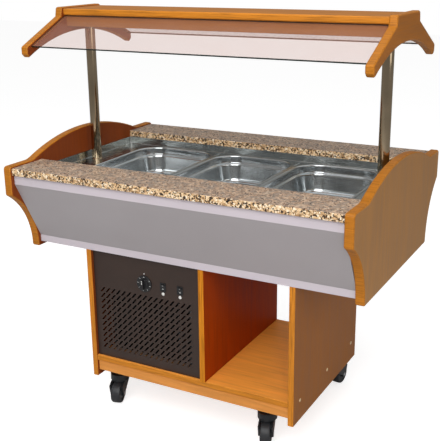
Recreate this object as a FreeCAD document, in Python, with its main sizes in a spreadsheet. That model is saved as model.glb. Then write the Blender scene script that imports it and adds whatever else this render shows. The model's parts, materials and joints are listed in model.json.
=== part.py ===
import FreeCAD, Part
import Sketcher
import math
import os

# Mobile salad bar: a refrigerated well with three food pans between two shaped wooden end
# panels, a glazed canopy on two steel posts, and a base cabinet on four castors.
# Millimetres. +X runs along the bar, the front faces -Y, +Z is up, and the origin lies on
# the floor under the middle of the bar.

SIZES = {
    # food pans, from which the length and depth of the bar follow
    "pan_length": 530,
    "pan_width": 325,
    "pan_gap": 2,
    "end_reach": 119.5,
    "counter_reach": 165,
    # heights: the counter above the floor, and the rest from the counter
    "counter_height": 880,
    "shoulder_rise": 6,
    "crest_rise": 64,
    "brow_drop": 99,
    "body_drop": 263,
    "canopy_rise": 493,
    # end panels
    "end_thick": 30,
    "crest_radius": 800,
    "shoulder_radius": 60,
    "shoulder_round": 12,
    "brow_round": 7,
    "foot_inset": 112,
    "foot_drop": 40,
    "toe_round": 8,
    "wood_ease": 3.5,
    # stone counter and its boards
    "stone_thick": 24,
    "stone_inset": 7,
    "stone_ease": 2,
    "board_thick": 18,
    "board_setback": 10,
    # grey front: two trims and a slanted panel
    "fascia_inset": 17,
    "fascia_foot_inset": 125,
    "fascia_thick": 16,
    "top_trim_height": 32,
    "foot_trim_height": 24,
    # steel well
    "sheet": 1.5,
    "pan_play": 1.5,
    "tray_play": 3,
    "tray_depth": 27,
    "well_inset": 128,
    "rim_bearing": 10,
    "foam_thick": 30,
    "casing_sheet": 1,
    "drain_bore": 20,
    "drain_wall": 2,
    "drain_collar": 4,
    "drain_hose_end": 38,
    "bar_width": 20,
    "bar_height": 20,
    "bar_sheet": 2,
    # pan section
    "pan_rim_round": 13,
    "pan_rim_thick": 1.2,
    "pan_rim_width": 11,
    "pan_sheet": 1,
    "pan_depth": 100,
    "pan_neck": 24,
    "pan_shoulder": 6,
    "pan_taper": 9,
    "pan_corner": 48,
    "pan_floor_ease": 8,
    # posts
    "post_inset": 64,
    "post_bore": 31,
    "post_wall": 2,
    "flange_thick": 4,
    "flange_width": 80,
    # canopy
    "canopy_inset": 6,
    "bracket_thick": 27,
    "wing_inset": 127,
    "wing_drop": 146,
    "wing_tip_rise": 35,
    "wing_chamfer": 11,
    "arch_drop": 77,
    "canopy_board_thick": 22,
    "canopy_board_depth": 208,
    "ear_depth": 224,
    "ear_rise": 5,
    "ear_slope": 6,
    "ear_drop": 3,
    "ear_round": 9,
    "tip_round": 8,
    "glass_thick": 5,
    "glass_inset": 8.6,
    "glass_setback": 22,
    "glass_bite": 6,
    "rail_height": 38,
    "rail_thick": 18,
    "batten_margin": 0.5,
    "batten_width": 60,
    "batten_height": 13,
    "batten_sheet": 1,
    "lamp_length": 849,
    "lamp_bore": 14,
    "lamp_wall": 1,
    "lamp_drop": 12,
    "holder_length": 15,
    "holder_width": 24,
    # base cabinet
    "base_inset": 222,
    "base_front_inset": 128,
    "base_back_inset": 162,
    "base_thick": 20,
    "base_lift": 13,
    "skirt_depth": 81,
    "base_ease": 1.5,
    "partition_offset": 60,
    "partition_housing": 4,
    "plinth_height": 40,
    "plinth_thick": 18,
    "plinth_recess": 8,
    # grilles
    "grille_recess": 12,
    "grille_sheet": 1.5,
    "grille_return": 18,
    "slot_columns": 17,
    "slot_rows": 11,
    "slot_pitch_across": 21.4,
    "slot_pitch_up": 21,
    "slot_run": 15,
    "slot_rise": 18,
    "slot_width": 7.5,
    "slots_inset": 33,
    "slots_lift": 42,
    "vent_rows": 12,
    "vent_pitch": 26,
    "vent_height": 8,
    "vent_side": 50,
    "vent_lift": 43,
    # controls, placed from the partition and from the head of the grille
    "knob_inset": 212,
    "controls_drop": 92,
    "skirt_radius": 29,
    "skirt_thick": 3,
    "grip_radius": 17,
    "grip_height": 15,
    "grip_bar": 9,
    "spindle_radius": 3,
    "stat_width": 46,
    "stat_depth": 34,
    "power_inset": 139,
    "light_inset": 74,
    "switch_width": 22,
    "switch_height": 30,
    "switch_rim": 2,
    "switch_depth": 22,
    "rocker_margin": 3,
    "rocker_tilt": 8,
    "rocker_proud": 3,
    "rocker_slack": 1.2,
    "pivot_radius": 1.2,
    "pivot_bite": 1,
    "pilot_drop": 24,
    "pilot_radius": 5.5,
    "pilot_reach": 12,
    "pilot_proud": 2.5,
    # refrigerating set
    "set_left_inset": 23,
    "set_right_inset": 25,
    "set_inset": 31,
    "set_sheet": 2,
    "set_edge": 12,
    "coil_inset": 33,
    "coil_length": 270,
    "coil_height": 240,
    "coil_thick": 50,
    "plate_proud": 6,
    "shroud_depth": 22,
    "shroud_sheet": 2,
    "fan_bore": 104,
    "fan_radius": 98,
    "fan_hub_radius": 26,
    "fan_hub_length": 18,
    "fan_blades": 5,
    "blade_chord": 52,
    "blade_lead": 16,
    "blade_thick": 2,
    "motor_radius": 32,
    "motor_length": 55,
    "motor_strap": 16,
    "pump_inset": 145,
    "pump_setback": 110,
    "pump_radius": 76,
    "pump_height": 190,
    "pump_lift": 16,
    "pump_dome": 26,
    "pump_seam": 8,
    "pump_lip": 3,
    "pump_foot": 200,
    "pump_foot_thick": 4,
    "grommet_radius": 12,
    # castors
    "castor_inset": 58,
    "castor_shift": 68,
    "castor_setback": 78,
    "front_swivel": -73,
    "back_swivel": 84,
    "wheel_radius": 37.5,
    "wheel_width": 34,
    "tread_ease": 4,
    "castor_trail": 30,
    "head_lift": 28,
    "head_radius": 33,
    "head_height": 23,
    "neck_height": 10,
    "cheek_thick": 6,
    "wheel_gap": 2,
    "arch_gap": 3,
    "boss_radius": 13,
    "axle_radius": 4,
    "stem_radius": 6,
    "stem_seat": 18,
    "socket_wall": 4,
    "socket_drop": 36,
    "socket_flange": 40,
    "socket_sheet": 3,
    # fixings and fits
    "cap_radius": 6,
    "cap_height": 1.2,
    "cap_front": 52,
    "fit": 0.3,
    "running_fit": 0.06,
}


class Size:
    """A size of the bar: its number, and the spreadsheet formula that gives it."""

    def __init__(self, number, formula):
        self.number = number
        self.formula = formula

    def __add__(self, other):
        other = as_size(other)
        return Size(self.number + other.number, f"({self.formula} + {other.formula})")

    def __radd__(self, other):
        return as_size(other) + self

    def __sub__(self, other):
        other = as_size(other)
        return Size(self.number - other.number, f"({self.formula} - {other.formula})")

    def __rsub__(self, other):
        return as_size(other) - self

    def __mul__(self, other):
        other = as_size(other)
        return Size(self.number * other.number, f"({self.formula} * {other.formula})")

    def __rmul__(self, other):
        return as_size(other) * self

    def __truediv__(self, other):
        other = as_size(other)
        return Size(self.number / other.number, f"({self.formula} / {other.formula})")

    def __neg__(self):
        return Size(-self.number, f"(-1 * {self.formula})")


def as_size(value):
    """A plain number becomes a size too."""
    if isinstance(value, Size):
        return value
    return Size(float(value), repr(float(value)))


def root(value):
    """Square root of a size."""
    return Size(math.sqrt(value.number), f"sqrt({value.formula})")


def cosine(angle):
    """Cosine of a size in degrees."""
    return Size(math.cos(math.radians(angle.number)), f"cos({angle.formula} * 1 deg)")


def sine(angle):
    """Sine of a size in degrees."""
    return Size(math.sin(math.radians(angle.number)), f"sin({angle.formula} * 1 deg)")


def make_sheet(doc):
    """Driving dimensions of the bar, one row each: name and number."""
    sheet = doc.addObject("Spreadsheet::Sheet", "Sheet")
    for row, (name, number) in enumerate(SIZES.items(), start=1):
        sheet.set(f"A{row}", name)
        sheet.set(f"B{row}", str(number))
        sheet.setAlias(f"B{row}", name)
    doc.recompute()
    return sheet


doc = FreeCAD.newDocument("salad_bar")
sheet = make_sheet(doc)
pieces = []


class SheetSizes:
    """Reads a driving dimension from the sheet by its name."""

    def __getattr__(self, name):
        return Size(float(getattr(sheet, name)), f"Sheet.{name}")


d = SheetSizes()


# ---------------------------------------------------------------- drawing and feature helpers

def bind(thing, prop, size):
    """Ties a property to its formula."""
    thing.setExpression(prop, as_size(size).formula)


def keep(piece, name):
    """Names a finished piece and lists it for export."""
    piece.Label = name
    pieces.append(piece)
    return piece


def new_body(name):
    """A body listed under its own name."""
    return keep(doc.addObject("PartDesign::Body", name), name)


def origin_part(body, role):
    """An origin plane or axis of the body."""
    for feature in body.Origin.OriginFeatures:
        if feature.Role == role:
            return feature
    raise ValueError(role)


def set_down(body, x=0, y=0, z=0, axis=None, angle=0):
    """Puts a body in its place, turned about an axis first where one is given."""
    if axis is not None:
        angle = as_size(angle)
        turn = FreeCAD.Rotation(FreeCAD.Vector(*axis), angle.number)
        body.Placement = FreeCAD.Placement(FreeCAD.Vector(), turn)
        bind(body, "Placement.Rotation.Angle", angle)
    for name, size in zip("xyz", (x, y, z)):
        bind(body, f"Placement.Base.{name}", size)


def arc_between(start, end, radius, turn):
    """Minor arc from start to end: turn is 1 for anticlockwise, -1 for clockwise."""
    half = (end - start) * 0.5
    reach = math.sqrt(max(radius * radius - half.Length * half.Length, 0.0))
    across = FreeCAD.Vector(-half.y, half.x, 0)
    across.normalize()
    centre = start + half + across * reach * turn
    first, last = (start, end) if turn > 0 else (end, start)
    angles = [math.atan2(point.y - centre.y, point.x - centre.x) for point in (first, last)]
    circle = Part.Circle(centre, FreeCAD.Vector(0, 0, 1), radius)
    return Part.ArcOfCircle(circle, angles[0], angles[1])


def add_outline(sketch, corners):
    """Closed outline. A corner is (u, v), or (u, v, radius, turn) where an arc arrives at it."""
    points = [FreeCAD.Vector(as_size(c[0]).number, as_size(c[1]).number, 0) for c in corners]
    first_geometry = sketch.GeometryCount
    count = len(corners)
    geometry = []
    ends = []
    for index in range(count):
        arriving = corners[(index + 1) % count]
        start, end = points[index], points[(index + 1) % count]
        if len(arriving) == 2:
            geometry.append(Part.LineSegment(start, end))
            ends.append((1, 2))
        else:
            geometry.append(arc_between(start, end, as_size(arriving[2]).number, arriving[3]))
            ends.append((1, 2) if arriving[3] > 0 else (2, 1))
    sketch.addGeometry(geometry, False)
    rules = []
    formulas = []
    for index in range(count):
        this, following = first_geometry + index, first_geometry + (index + 1) % count
        rules.append(Sketcher.Constraint("Coincident", this, ends[index][1],
                                         following, ends[(index + 1) % count][0]))
        formulas.append(None)
        for kind, size in (("DistanceX", corners[index][0]), ("DistanceY", corners[index][1])):
            size = as_size(size)
            rules.append(Sketcher.Constraint(kind, -1, 1, this, ends[index][0], size.number))
            formulas.append(size.formula)
        arriving = corners[(index + 1) % count]
        if len(arriving) > 2:
            size = as_size(arriving[2])
            rules.append(Sketcher.Constraint("Radius", this, size.number))
            formulas.append(size.formula)
    set_rules(sketch, rules, formulas)


def add_circle(sketch, u, v, radius):
    """Circle at (u, v)."""
    u, v, radius = as_size(u), as_size(v), as_size(radius)
    centre = FreeCAD.Vector(u.number, v.number, 0)
    index = sketch.addGeometry(Part.Circle(centre, FreeCAD.Vector(0, 0, 1), radius.number), False)
    rules = [Sketcher.Constraint("DistanceX", -1, 1, index, 3, u.number),
             Sketcher.Constraint("DistanceY", -1, 1, index, 3, v.number),
             Sketcher.Constraint("Radius", index, radius.number)]
    set_rules(sketch, rules, [u.formula, v.formula, radius.formula])


def set_rules(sketch, rules, formulas):
    """Adds constraints and ties each to its formula, where that names a cell."""
    first = sketch.ConstraintCount
    sketch.addConstraint(rules)
    for index, formula in enumerate(formulas):
        if formula and "Sheet." in formula:
            sketch.setExpression(f"Constraints[{first + index}]", formula)


def new_sketch(body, plane, level, loops):
    """Sketch on an origin plane, raised along its normal. Loops are outlines or circles."""
    sketch = body.newObject("Sketcher::SketchObject", f"{body.Name}_sketch")
    sketch.AttachmentSupport = [(origin_part(body, f"{plane}_Plane"), "")]
    sketch.MapMode = "FlatFace"
    bind(sketch, "AttachmentOffset.Base.z", level)
    for loop in loops:
        if isinstance(loop, tuple):
            add_circle(sketch, *loop)
        else:
            add_outline(sketch, loop)
    return sketch


def prism(body, plane, low, high, *loops):
    """Adds material between two levels along X (YZ plane), Y (XZ plane) or Z (XY plane)."""
    level = -as_size(high) if plane == "XZ" else low
    pad = body.newObject("PartDesign::Pad", f"{body.Name}_pad")
    pad.Profile = new_sketch(body, plane, level, loops)
    bind(pad, "Length", as_size(high) - low)
    return pad


def cut(body, plane, low, high, *loops):
    """Takes material away between two levels."""
    level = -as_size(low) if plane == "XZ" else high
    pocket = body.newObject("PartDesign::Pocket", f"{body.Name}_pocket")
    pocket.Profile = new_sketch(body, plane, level, loops)
    bind(pocket, "Length", as_size(high) - low)
    return pocket


def turned(body, corners, plane="XZ", axis="Z"):
    """Revolves an outline of (radius, height) corners about one of the body's own axes."""
    turning = body.newObject("PartDesign::Revolution", f"{body.Name}_turning")
    turning.Profile = new_sketch(body, plane, 0, [corners])
    turning.ReferenceAxis = (origin_part(body, f"{axis}_Axis"), [""])
    turning.Angle = 360
    return turning


def loft(body, low_level, low_loop, high_level, high_loop, kind="PartDesign::AdditiveLoft"):
    """Straight loft between two outlines at two heights, added or taken away."""
    section = body.newObject(kind, f"{body.Name}_loft")
    section.Profile = new_sketch(body, "XY", high_level, [high_loop])
    section.Sections = [new_sketch(body, "XY", low_level, [low_loop])]
    section.Ruled = True
    return section


def edge_names(shape, wanted):
    """Names of the edges that a test picks."""
    return [f"Edge{index}" for index, edge in enumerate(shape.Edges, start=1) if wanted(edge)]


def round_edges(body, radius, wanted):
    """Fillets the edges that a test picks."""
    doc.recompute()
    base = body.Tip
    names = edge_names(base.Shape, wanted)
    if not names:
        raise ValueError(f"{body.Name}: no edge to round")
    fillet = body.newObject("PartDesign::Fillet", f"{body.Name}_round")
    fillet.Base = (base, names)
    bind(fillet, "Radius", radius)
    return fillet


def ease_edges(body, size, wanted):
    """Takes the sharpness off the edges that a test picks, with a flat at 45 degrees."""
    doc.recompute()
    base = body.Tip
    names = edge_names(base.Shape, wanted)
    if not names:
        raise ValueError(f"{body.Name}: no edge to ease")
    chamfer = body.newObject("PartDesign::Chamfer", f"{body.Name}_ease")
    chamfer.Base = (base, names)
    bind(chamfer, "Size", size)
    return chamfer


def lies_at(axis, *levels):
    """Test for edges that lie wholly at one of the levels along an axis."""
    numbers = [as_size(level).number for level in levels]

    def wanted(edge):
        box = edge.BoundBox
        low, high = getattr(box, f"{axis}Min"), getattr(box, f"{axis}Max")
        return any(abs(low - n) < 1e-4 and abs(high - n) < 1e-4 for n in numbers)
    return wanted


def runs_along(axis, *places):
    """Test for straight edges along an axis, at one of the places across it."""
    across = [name for name in "XYZ" if name != axis]
    numbers = [[as_size(value).number for value in place] for place in places]

    def wanted(edge):
        box = edge.BoundBox
        if getattr(box, f"{axis}Length") < 1e-3:
            return False
        middle = [(getattr(box, f"{a}Min") + getattr(box, f"{a}Max")) / 2 for a in across]
        spread = max(getattr(box, f"{a}Length") for a in across)
        near = any(math.dist(middle, place) < 1e-3 for place in numbers)
        return near and spread < 1e-3
    return wanted


def rectangle(low_u, high_u, low_v, high_v):
    """Plain rectangle."""
    return [(low_u, low_v), (high_u, low_v), (high_u, high_v), (low_u, high_v)]


def round_rectangle(half_u, half_v, radius, centre_u=0, centre_v=0):
    """Rectangle with round corners about a centre."""
    left, right = centre_u - as_size(half_u), centre_u + as_size(half_u)
    low, high = centre_v - as_size(half_v), centre_v + as_size(half_v)
    return [(left + radius, low, radius, 1), (right - radius, low),
            (right, low + radius, radius, 1), (right, high - radius),
            (right - radius, high, radius, 1), (left + radius, high),
            (left, high - radius, radius, 1), (left, low + radius)]


def block(name, x, y, z):
    """Plain block between a low and a high size on each axis."""
    piece = doc.addObject("Part::Box", name)
    for prop, axis, (low, high) in zip(("Length", "Width", "Height"), "xyz", (x, y, z)):
        bind(piece, prop, as_size(high) - low)
        bind(piece, f"Placement.Base.{axis}", low)
    return piece


def group(name, members):
    """Like pieces that share one node as separate solids."""
    together = doc.addObject("Part::Compound", name)
    together.Links = members
    return keep(together, name)


def both_ways(low, high):
    """The span and its mirror image, for front and rear twins."""
    return ((low, high), (-as_size(high), -as_size(low)))


# ---------------------------------------------------------------- shared levels and reaches

pan_pitch = d.pan_width + d.pan_gap
half_length = pan_pitch * 3 / 2 + d.end_reach
half_depth = d.pan_length / 2 + d.counter_reach
end_inner = half_length - d.end_thick
inner_span = end_inner - d.fit
shoulder_top = d.counter_height + d.shoulder_rise
crest_top = shoulder_top + d.crest_rise
brow_level = shoulder_top - d.brow_drop
stone_under = d.counter_height - d.stone_thick
stone_outer = half_depth - d.stone_inset
stone_inner = d.pan_length / 2 + d.pan_play
fascia_outer = half_depth - d.fascia_inset
fascia_inner = fascia_outer - d.fascia_thick
fascia_foot = half_depth - d.fascia_foot_inset
fascia_foot_inner = fascia_foot - d.fascia_thick
top_trim_foot = stone_under - d.top_trim_height
floorboard_top = d.counter_height - d.body_drop
floorboard_under = floorboard_top - d.foot_trim_height
panel_foot = floorboard_top - d.foot_drop
flange_under = stone_under - d.sheet
ledge_top = stone_under - d.tray_depth
tray_half = d.pan_length / 2 + d.tray_play
well_x = half_length - d.well_inset
well_y = d.pan_length / 2 - d.rim_bearing
casing_floor = floorboard_top + d.casing_sheet
well_floor = casing_floor + d.foam_thick + d.sheet
tub_x = well_x + d.sheet
tub_y = well_y + d.sheet
tub_under = well_floor - d.sheet
drain_collar = d.drain_bore / 2 + d.drain_collar
casing_x = tub_x + d.foam_thick + d.casing_sheet
casing_y = tub_y + d.foam_thick + d.casing_sheet
post_offset = half_length - d.post_inset
post_radius = d.post_bore / 2 + d.post_wall
board_top = d.counter_height + d.canopy_rise
board_under = board_top - d.canopy_board_thick
bracket_outer = half_length - d.canopy_inset
bracket_inner = bracket_outer - d.bracket_thick
head_top = d.wheel_radius * 2 + d.head_lift
base_foot = head_top + d.base_lift
base_front = half_depth - d.base_front_inset
base_back = half_depth - d.base_back_inset
base_outer = half_length - d.base_inset
base_inner = base_outer - d.base_thick
cabinet_floor_top = base_foot + d.skirt_depth
cabinet_floor_under = cabinet_floor_top - d.base_thick
partition_left = d.partition_offset - d.base_thick / 2
partition_right = d.partition_offset + d.base_thick / 2
grille_face = base_front - d.grille_recess
vent_face = base_back - d.grille_recess
grille_left = -base_inner + d.fit
grille_right = partition_left - d.fit
grille_foot = cabinet_floor_top
grille_head = floorboard_under
controls_height = grille_head - d.controls_drop
knob_x = partition_left - d.knob_inset
power_x = partition_left - d.power_inset
light_x = partition_left - d.light_inset


# ---------------------------------------------------------------- end panels

def end_outline():
    """Shaped end panel in the YZ plane: arched top, flat shoulders, swept lower corners."""
    foot = half_depth - d.foot_inset
    crest_centre = crest_top - d.crest_radius
    fillet_centre = shoulder_top + d.shoulder_radius
    reach = d.crest_radius + d.shoulder_radius
    rise = fillet_centre - crest_centre
    spread = root(reach * reach - rise * rise)
    share = d.crest_radius / reach
    join_y = spread * share
    join_z = crest_centre + rise * share
    round_y = half_depth - d.shoulder_round
    round_z = shoulder_top - d.shoulder_round
    toe_z = panel_foot + d.toe_round
    toe_y = foot - d.toe_round
    run = half_depth - foot
    lift = brow_level - toe_z
    sweep = (run * run + lift * lift) / (2 * run)
    return [(-toe_y, panel_foot, d.toe_round, 1), (toe_y, panel_foot),
            (foot, toe_z, d.toe_round, 1), (half_depth, brow_level, sweep, -1),
            (half_depth, round_z), (round_y, shoulder_top, d.shoulder_round, 1),
            (spread, shoulder_top), (join_y, join_z, d.shoulder_radius, -1),
            (-join_y, join_z, d.crest_radius, 1),
            (-spread, shoulder_top, d.shoulder_radius, -1), (-round_y, shoulder_top),
            (-half_depth, round_z, d.shoulder_round, 1), (-half_depth, brow_level),
            (-foot, toe_z, sweep, -1)]


def end_panel(name, low, high):
    """Solid wooden end panel with all its edges eased."""
    body = new_body(name)
    prism(body, "YZ", low, high, end_outline())
    round_edges(body, d.brow_round,
                runs_along("X", (half_depth, brow_level), (-half_depth, brow_level)))
    ease_edges(body, d.wood_ease, lies_at("X", low, high))


# ---------------------------------------------------------------- stone, boards, grey front

def stone_slab(name, low, high):
    """Counter slab with its long top edges eased."""
    body = new_body(name)
    prism(body, "XY", stone_under, d.counter_height,
          rectangle(-inner_span, inner_span, low, high))
    ease_edges(body, d.stone_ease,
               runs_along("X", (low, d.counter_height), (high, d.counter_height)))


def counter_boards():
    """Boards under the two slabs, inside the top trims."""
    low = tray_half + d.board_setback
    high = fascia_inner - d.fit
    boards = [block(f"counter_board_{i}", (-inner_span, inner_span), span,
                    (flange_under - d.board_thick, flange_under))
              for i, span in enumerate(both_ways(low, high))]
    group("counter_boards", boards)


def fascias():
    """Slanted grey panels, front and rear, cut level at both ends."""
    panels = []
    for index, side in enumerate((-1, 1)):
        body = doc.addObject("PartDesign::Body", f"fascia_{index}")
        corners = [(side * fascia_foot, floorboard_top), (side * fascia_outer, top_trim_foot),
                   (side * fascia_inner, top_trim_foot),
                   (side * fascia_foot_inner, floorboard_top)]
        prism(body, "YZ", -inner_span, inner_span, corners)
        panels.append(body)
    group("fascias", panels)


def trims():
    """Upright trims above and below the slanted panels."""
    for name, low, high, foot, head in (
            ("top_trims", fascia_inner, fascia_outer, top_trim_foot, stone_under),
            ("foot_trims", fascia_foot_inner, fascia_foot, floorboard_under, floorboard_top)):
        strips = [block(f"{name}_{i}", (-inner_span, inner_span), span, (foot, head))
                  for i, span in enumerate(both_ways(low, high))]
        group(name, strips)


def carcass_floor():
    """Board between the foot trims that carries the well and sits on the base cabinet."""
    body = new_body("carcass_floor")
    reach = fascia_foot_inner - d.fit
    prism(body, "XY", floorboard_under, floorboard_top,
          rectangle(-inner_span, inner_span, -reach, reach),
          (0, 0, drain_collar + d.fit))


# ---------------------------------------------------------------- steel well

def well_liner():
    """Welded steel liner: flanges under the stone, upstands, a ledge, and a folded tub."""
    tray_out = tray_half + d.sheet
    ledge_under = ledge_top - d.sheet
    full = (-inner_span, inner_span)
    plates = []
    for y in both_ways(tray_out, fascia_inner - d.fit):
        plates.append((full, y, (flange_under, stone_under)))
    for y in both_ways(tray_half, tray_out):
        plates.append((full, y, (ledge_under, stone_under)))
    for y in both_ways(tub_y, tray_half):
        plates.append((full, y, (ledge_under, ledge_top)))
    for x in both_ways(inner_span - d.sheet, inner_span):
        plates.append((x, (-tray_half, tray_half), (ledge_top, stone_under)))
    for y in both_ways(well_y, tub_y):
        plates.append(((-tub_x, tub_x), y, (tub_under, ledge_top)))
    for x in both_ways(well_x, tub_x):
        plates.append((x, (-well_y, well_y), (tub_under, ledge_top)))
    members = [block(f"liner_sheet_{index}", *plate) for index, plate in enumerate(plates)]
    members += [ledge_end("liner_right_ledge", tub_x, inner_span, post_offset),
                ledge_end("liner_left_ledge", -inner_span, -tub_x, -post_offset),
                *tub_floor()]
    group("well_liner", members)


def ledge_end(name, low, high, post_x):
    """Ledge beside the tub, with the hole that a post goes through."""
    body = doc.addObject("PartDesign::Body", name)
    prism(body, "XY", ledge_top - d.sheet, ledge_top, rectangle(low, high, -tub_y, tub_y))
    cut(body, "XY", ledge_top - d.sheet, ledge_top, (post_x, 0, post_radius + d.fit))
    return body


def tub_floor():
    """Floor of the tub, and the collared drain spigot under it."""
    bore = d.drain_bore / 2
    sheet = doc.addObject("PartDesign::Body", "liner_floor")
    prism(sheet, "XY", tub_under, well_floor, rectangle(-well_x, well_x, -well_y, well_y))
    cut(sheet, "XY", tub_under, well_floor, (0, 0, bore))
    drain = doc.addObject("PartDesign::Body", "liner_drain")
    drain_end = floorboard_under - d.drain_hose_end
    prism(drain, "XY", floorboard_under, tub_under, (0, 0, drain_collar))
    prism(drain, "XY", drain_end, floorboard_under, (0, 0, bore + d.drain_wall))
    cut(drain, "XY", drain_end, tub_under, (0, 0, bore))
    return sheet, drain


def well_insulation():
    """Foam block round the well."""
    body = new_body("well_insulation")
    outer_x = casing_x - d.casing_sheet
    outer_y = casing_y - d.casing_sheet
    prism(body, "XY", casing_floor, ledge_top - d.sheet,
          rectangle(-outer_x, outer_x, -outer_y, outer_y))
    cut(body, "XY", tub_under, ledge_top - d.sheet, rectangle(-tub_x, tub_x, -tub_y, tub_y))
    cut(body, "XY", casing_floor, tub_under, (0, 0, drain_collar))


def well_casing():
    """Thin steel tray that holds the foam."""
    body = new_body("well_casing")
    inner_x = casing_x - d.casing_sheet
    inner_y = casing_y - d.casing_sheet
    head = ledge_top - d.sheet
    prism(body, "XY", floorboard_top, head, rectangle(-casing_x, casing_x, -casing_y, casing_y))
    cut(body, "XY", casing_floor, head, rectangle(-inner_x, inner_x, -inner_y, inner_y))
    cut(body, "XY", floorboard_top, casing_floor, (0, 0, drain_collar))


def pan_bars():
    """Two channels across the well, under the rims where two pans meet."""
    members = []
    for index, side in enumerate((-1, 1)):
        body = doc.addObject("PartDesign::Body", f"pan_bar_{index}")
        middle = side * pan_pitch / 2
        half = d.bar_width / 2
        inner = half - d.bar_sheet
        low, high = ledge_top - d.bar_height, ledge_top
        prism(body, "XZ", -well_y, well_y, rectangle(middle - half, middle + half, low, high))
        cut(body, "XZ", -well_y, well_y,
            rectangle(middle - inner, middle + inner, low, high - d.bar_sheet))
        members.append(body)
    group("pan_bars", members)


# ---------------------------------------------------------------- food pans

def pan_section(inset):
    """Outline of the pan at one depth, drawn in by an inset from the edge of its rim.

    Its corners keep one centre at every depth, so that the tapered ones are true cones.
    """
    half_x = d.pan_width / 2 - inset
    half_y = d.pan_length / 2 - inset
    return round_rectangle(half_x, half_y, d.pan_corner + d.pan_rim_width - inset)


def food_pan(name, index):
    """Drawn steel pan: flat rim, straight neck, stacking shoulder, tapered body, eased floor."""
    body = new_body(name)
    neck_low = -d.pan_neck
    floor = -d.pan_depth
    neck = d.pan_rim_width
    waist = neck + d.pan_shoulder
    foot = waist + d.pan_taper
    wall = d.pan_sheet
    prism(body, "XY", 0, d.pan_rim_thick,
          round_rectangle(d.pan_width / 2, d.pan_length / 2, d.pan_rim_round))
    prism(body, "XY", neck_low, 0, pan_section(neck))
    loft(body, floor, pan_section(foot), neck_low, pan_section(waist))
    cut(body, "XY", neck_low + wall, d.pan_rim_thick, pan_section(neck + wall))
    loft(body, floor + wall, pan_section(foot + wall), neck_low + wall,
         pan_section(waist + wall), "PartDesign::SubtractiveLoft")
    ease_edges(body, d.pan_floor_ease, lies_at("Z", floor, floor + wall))
    set_down(body, x=index * pan_pitch, z=ledge_top + d.fit)


# ---------------------------------------------------------------- posts

def post(name, side):
    """Steel tube from the carcass floor to the canopy board, with a flange at each end."""
    body = new_body(name)
    middle = side * post_offset
    foot_reach = post_offset - casing_x - d.fit
    head_reach = bracket_inner - post_offset - d.fit
    width = d.flange_width / 2
    prism(body, "XY", floorboard_top, board_under, (middle, 0, post_radius))
    prism(body, "XY", floorboard_top, floorboard_top + d.flange_thick,
          rectangle(middle - foot_reach, middle + foot_reach, -width, width))
    prism(body, "XY", board_under - d.flange_thick, board_under,
          rectangle(middle - head_reach, middle + head_reach, -width, width))
    cut(body, "XY", floorboard_top, board_under, (middle, 0, d.post_bore / 2))


# ---------------------------------------------------------------- canopy

wing_half = half_depth - d.wing_inset
tip_foot = board_top - d.wing_drop
tip_top = tip_foot + d.wing_tip_rise
ear_half = d.ear_depth / 2
ear_foot_y = ear_half + d.ear_slope
ear_foot_z = board_under - d.ear_drop
ear_top = board_top + d.ear_rise
glass_run = wing_half - ear_foot_y
glass_rise = ear_foot_z - tip_top
glass_slant = root(glass_run * glass_run + glass_rise * glass_rise)
glass_cos = glass_run / glass_slant
glass_sin = glass_rise / glass_slant
glass_head = (board_under - d.fit - tip_top + d.glass_inset * glass_cos) / glass_sin
rail_outer = (wing_half - glass_head * glass_cos
              - (d.glass_inset + d.glass_thick) * glass_sin - d.fit)
rail_inner = rail_outer - d.rail_thick


def along_wing(reach, depth, side):
    """Point in the YZ plane: reach up the wing's slope from its tip, depth below the slope."""
    y = wing_half - reach * glass_cos - depth * glass_sin
    z = tip_top + reach * glass_sin - depth * glass_cos
    return (side * y, z)


def pane_outline(side, slack):
    """Section of a glass pane, or of its groove where there is slack round it."""
    low, high = d.glass_setback - slack, glass_head
    top, under = d.glass_inset - slack, d.glass_inset + d.glass_thick + slack
    return [along_wing(low, top, side), along_wing(low, under, side),
            along_wing(high, under, side), along_wing(high, top, side)]


def bracket_outline():
    """Gull-wing canopy bracket: arch below, flat top with ears, slopes out to the tips."""
    arch_half = wing_half - d.wing_chamfer
    sagitta = d.wing_drop - d.arch_drop
    arch = (arch_half * arch_half + sagitta * sagitta) / (2 * sagitta)
    nose = tip_foot + d.wing_chamfer
    return [(-arch_half, tip_foot), (arch_half, tip_foot, arch, -1),
            (wing_half, nose), (wing_half, tip_top), (ear_foot_y, ear_foot_z),
            (ear_half, ear_top), (-ear_half, ear_top), (-ear_foot_y, ear_foot_z),
            (-wing_half, tip_top), (-wing_half, nose)]


def canopy_bracket(name, side):
    """Wooden bracket with eased edges and a groove in its inner face for each pane."""
    body = new_body(name)
    low, high = sorted((side * bracket_inner, side * bracket_outer), key=lambda s: s.number)
    prism(body, "YZ", low, high, bracket_outline())
    round_edges(body, d.tip_round, runs_along("X", (wing_half, tip_top), (-wing_half, tip_top)))
    round_edges(body, d.ear_round, runs_along("X", (ear_half, ear_top), (-ear_half, ear_top)))
    ease_edges(body, d.wood_ease, lies_at("X", low, high))
    if side > 0:
        groove = (bracket_inner, bracket_inner + d.glass_bite)
    else:
        groove = (-bracket_inner - d.glass_bite, -bracket_inner)
    cut(body, "YZ", groove[0], groove[1], pane_outline(-1, d.fit), pane_outline(1, d.fit))


def glass_panes():
    """Sloping panes held in the grooves of both brackets, under the canopy board."""
    reach = bracket_inner + d.glass_bite - d.fit
    panes = []
    for index, side in enumerate((-1, 1)):
        body = doc.addObject("PartDesign::Body", f"glass_pane_{index}")
        prism(body, "YZ", -reach, reach, pane_outline(side, 0))
        panes.append(body)
    group("glass_panes", panes)


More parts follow.
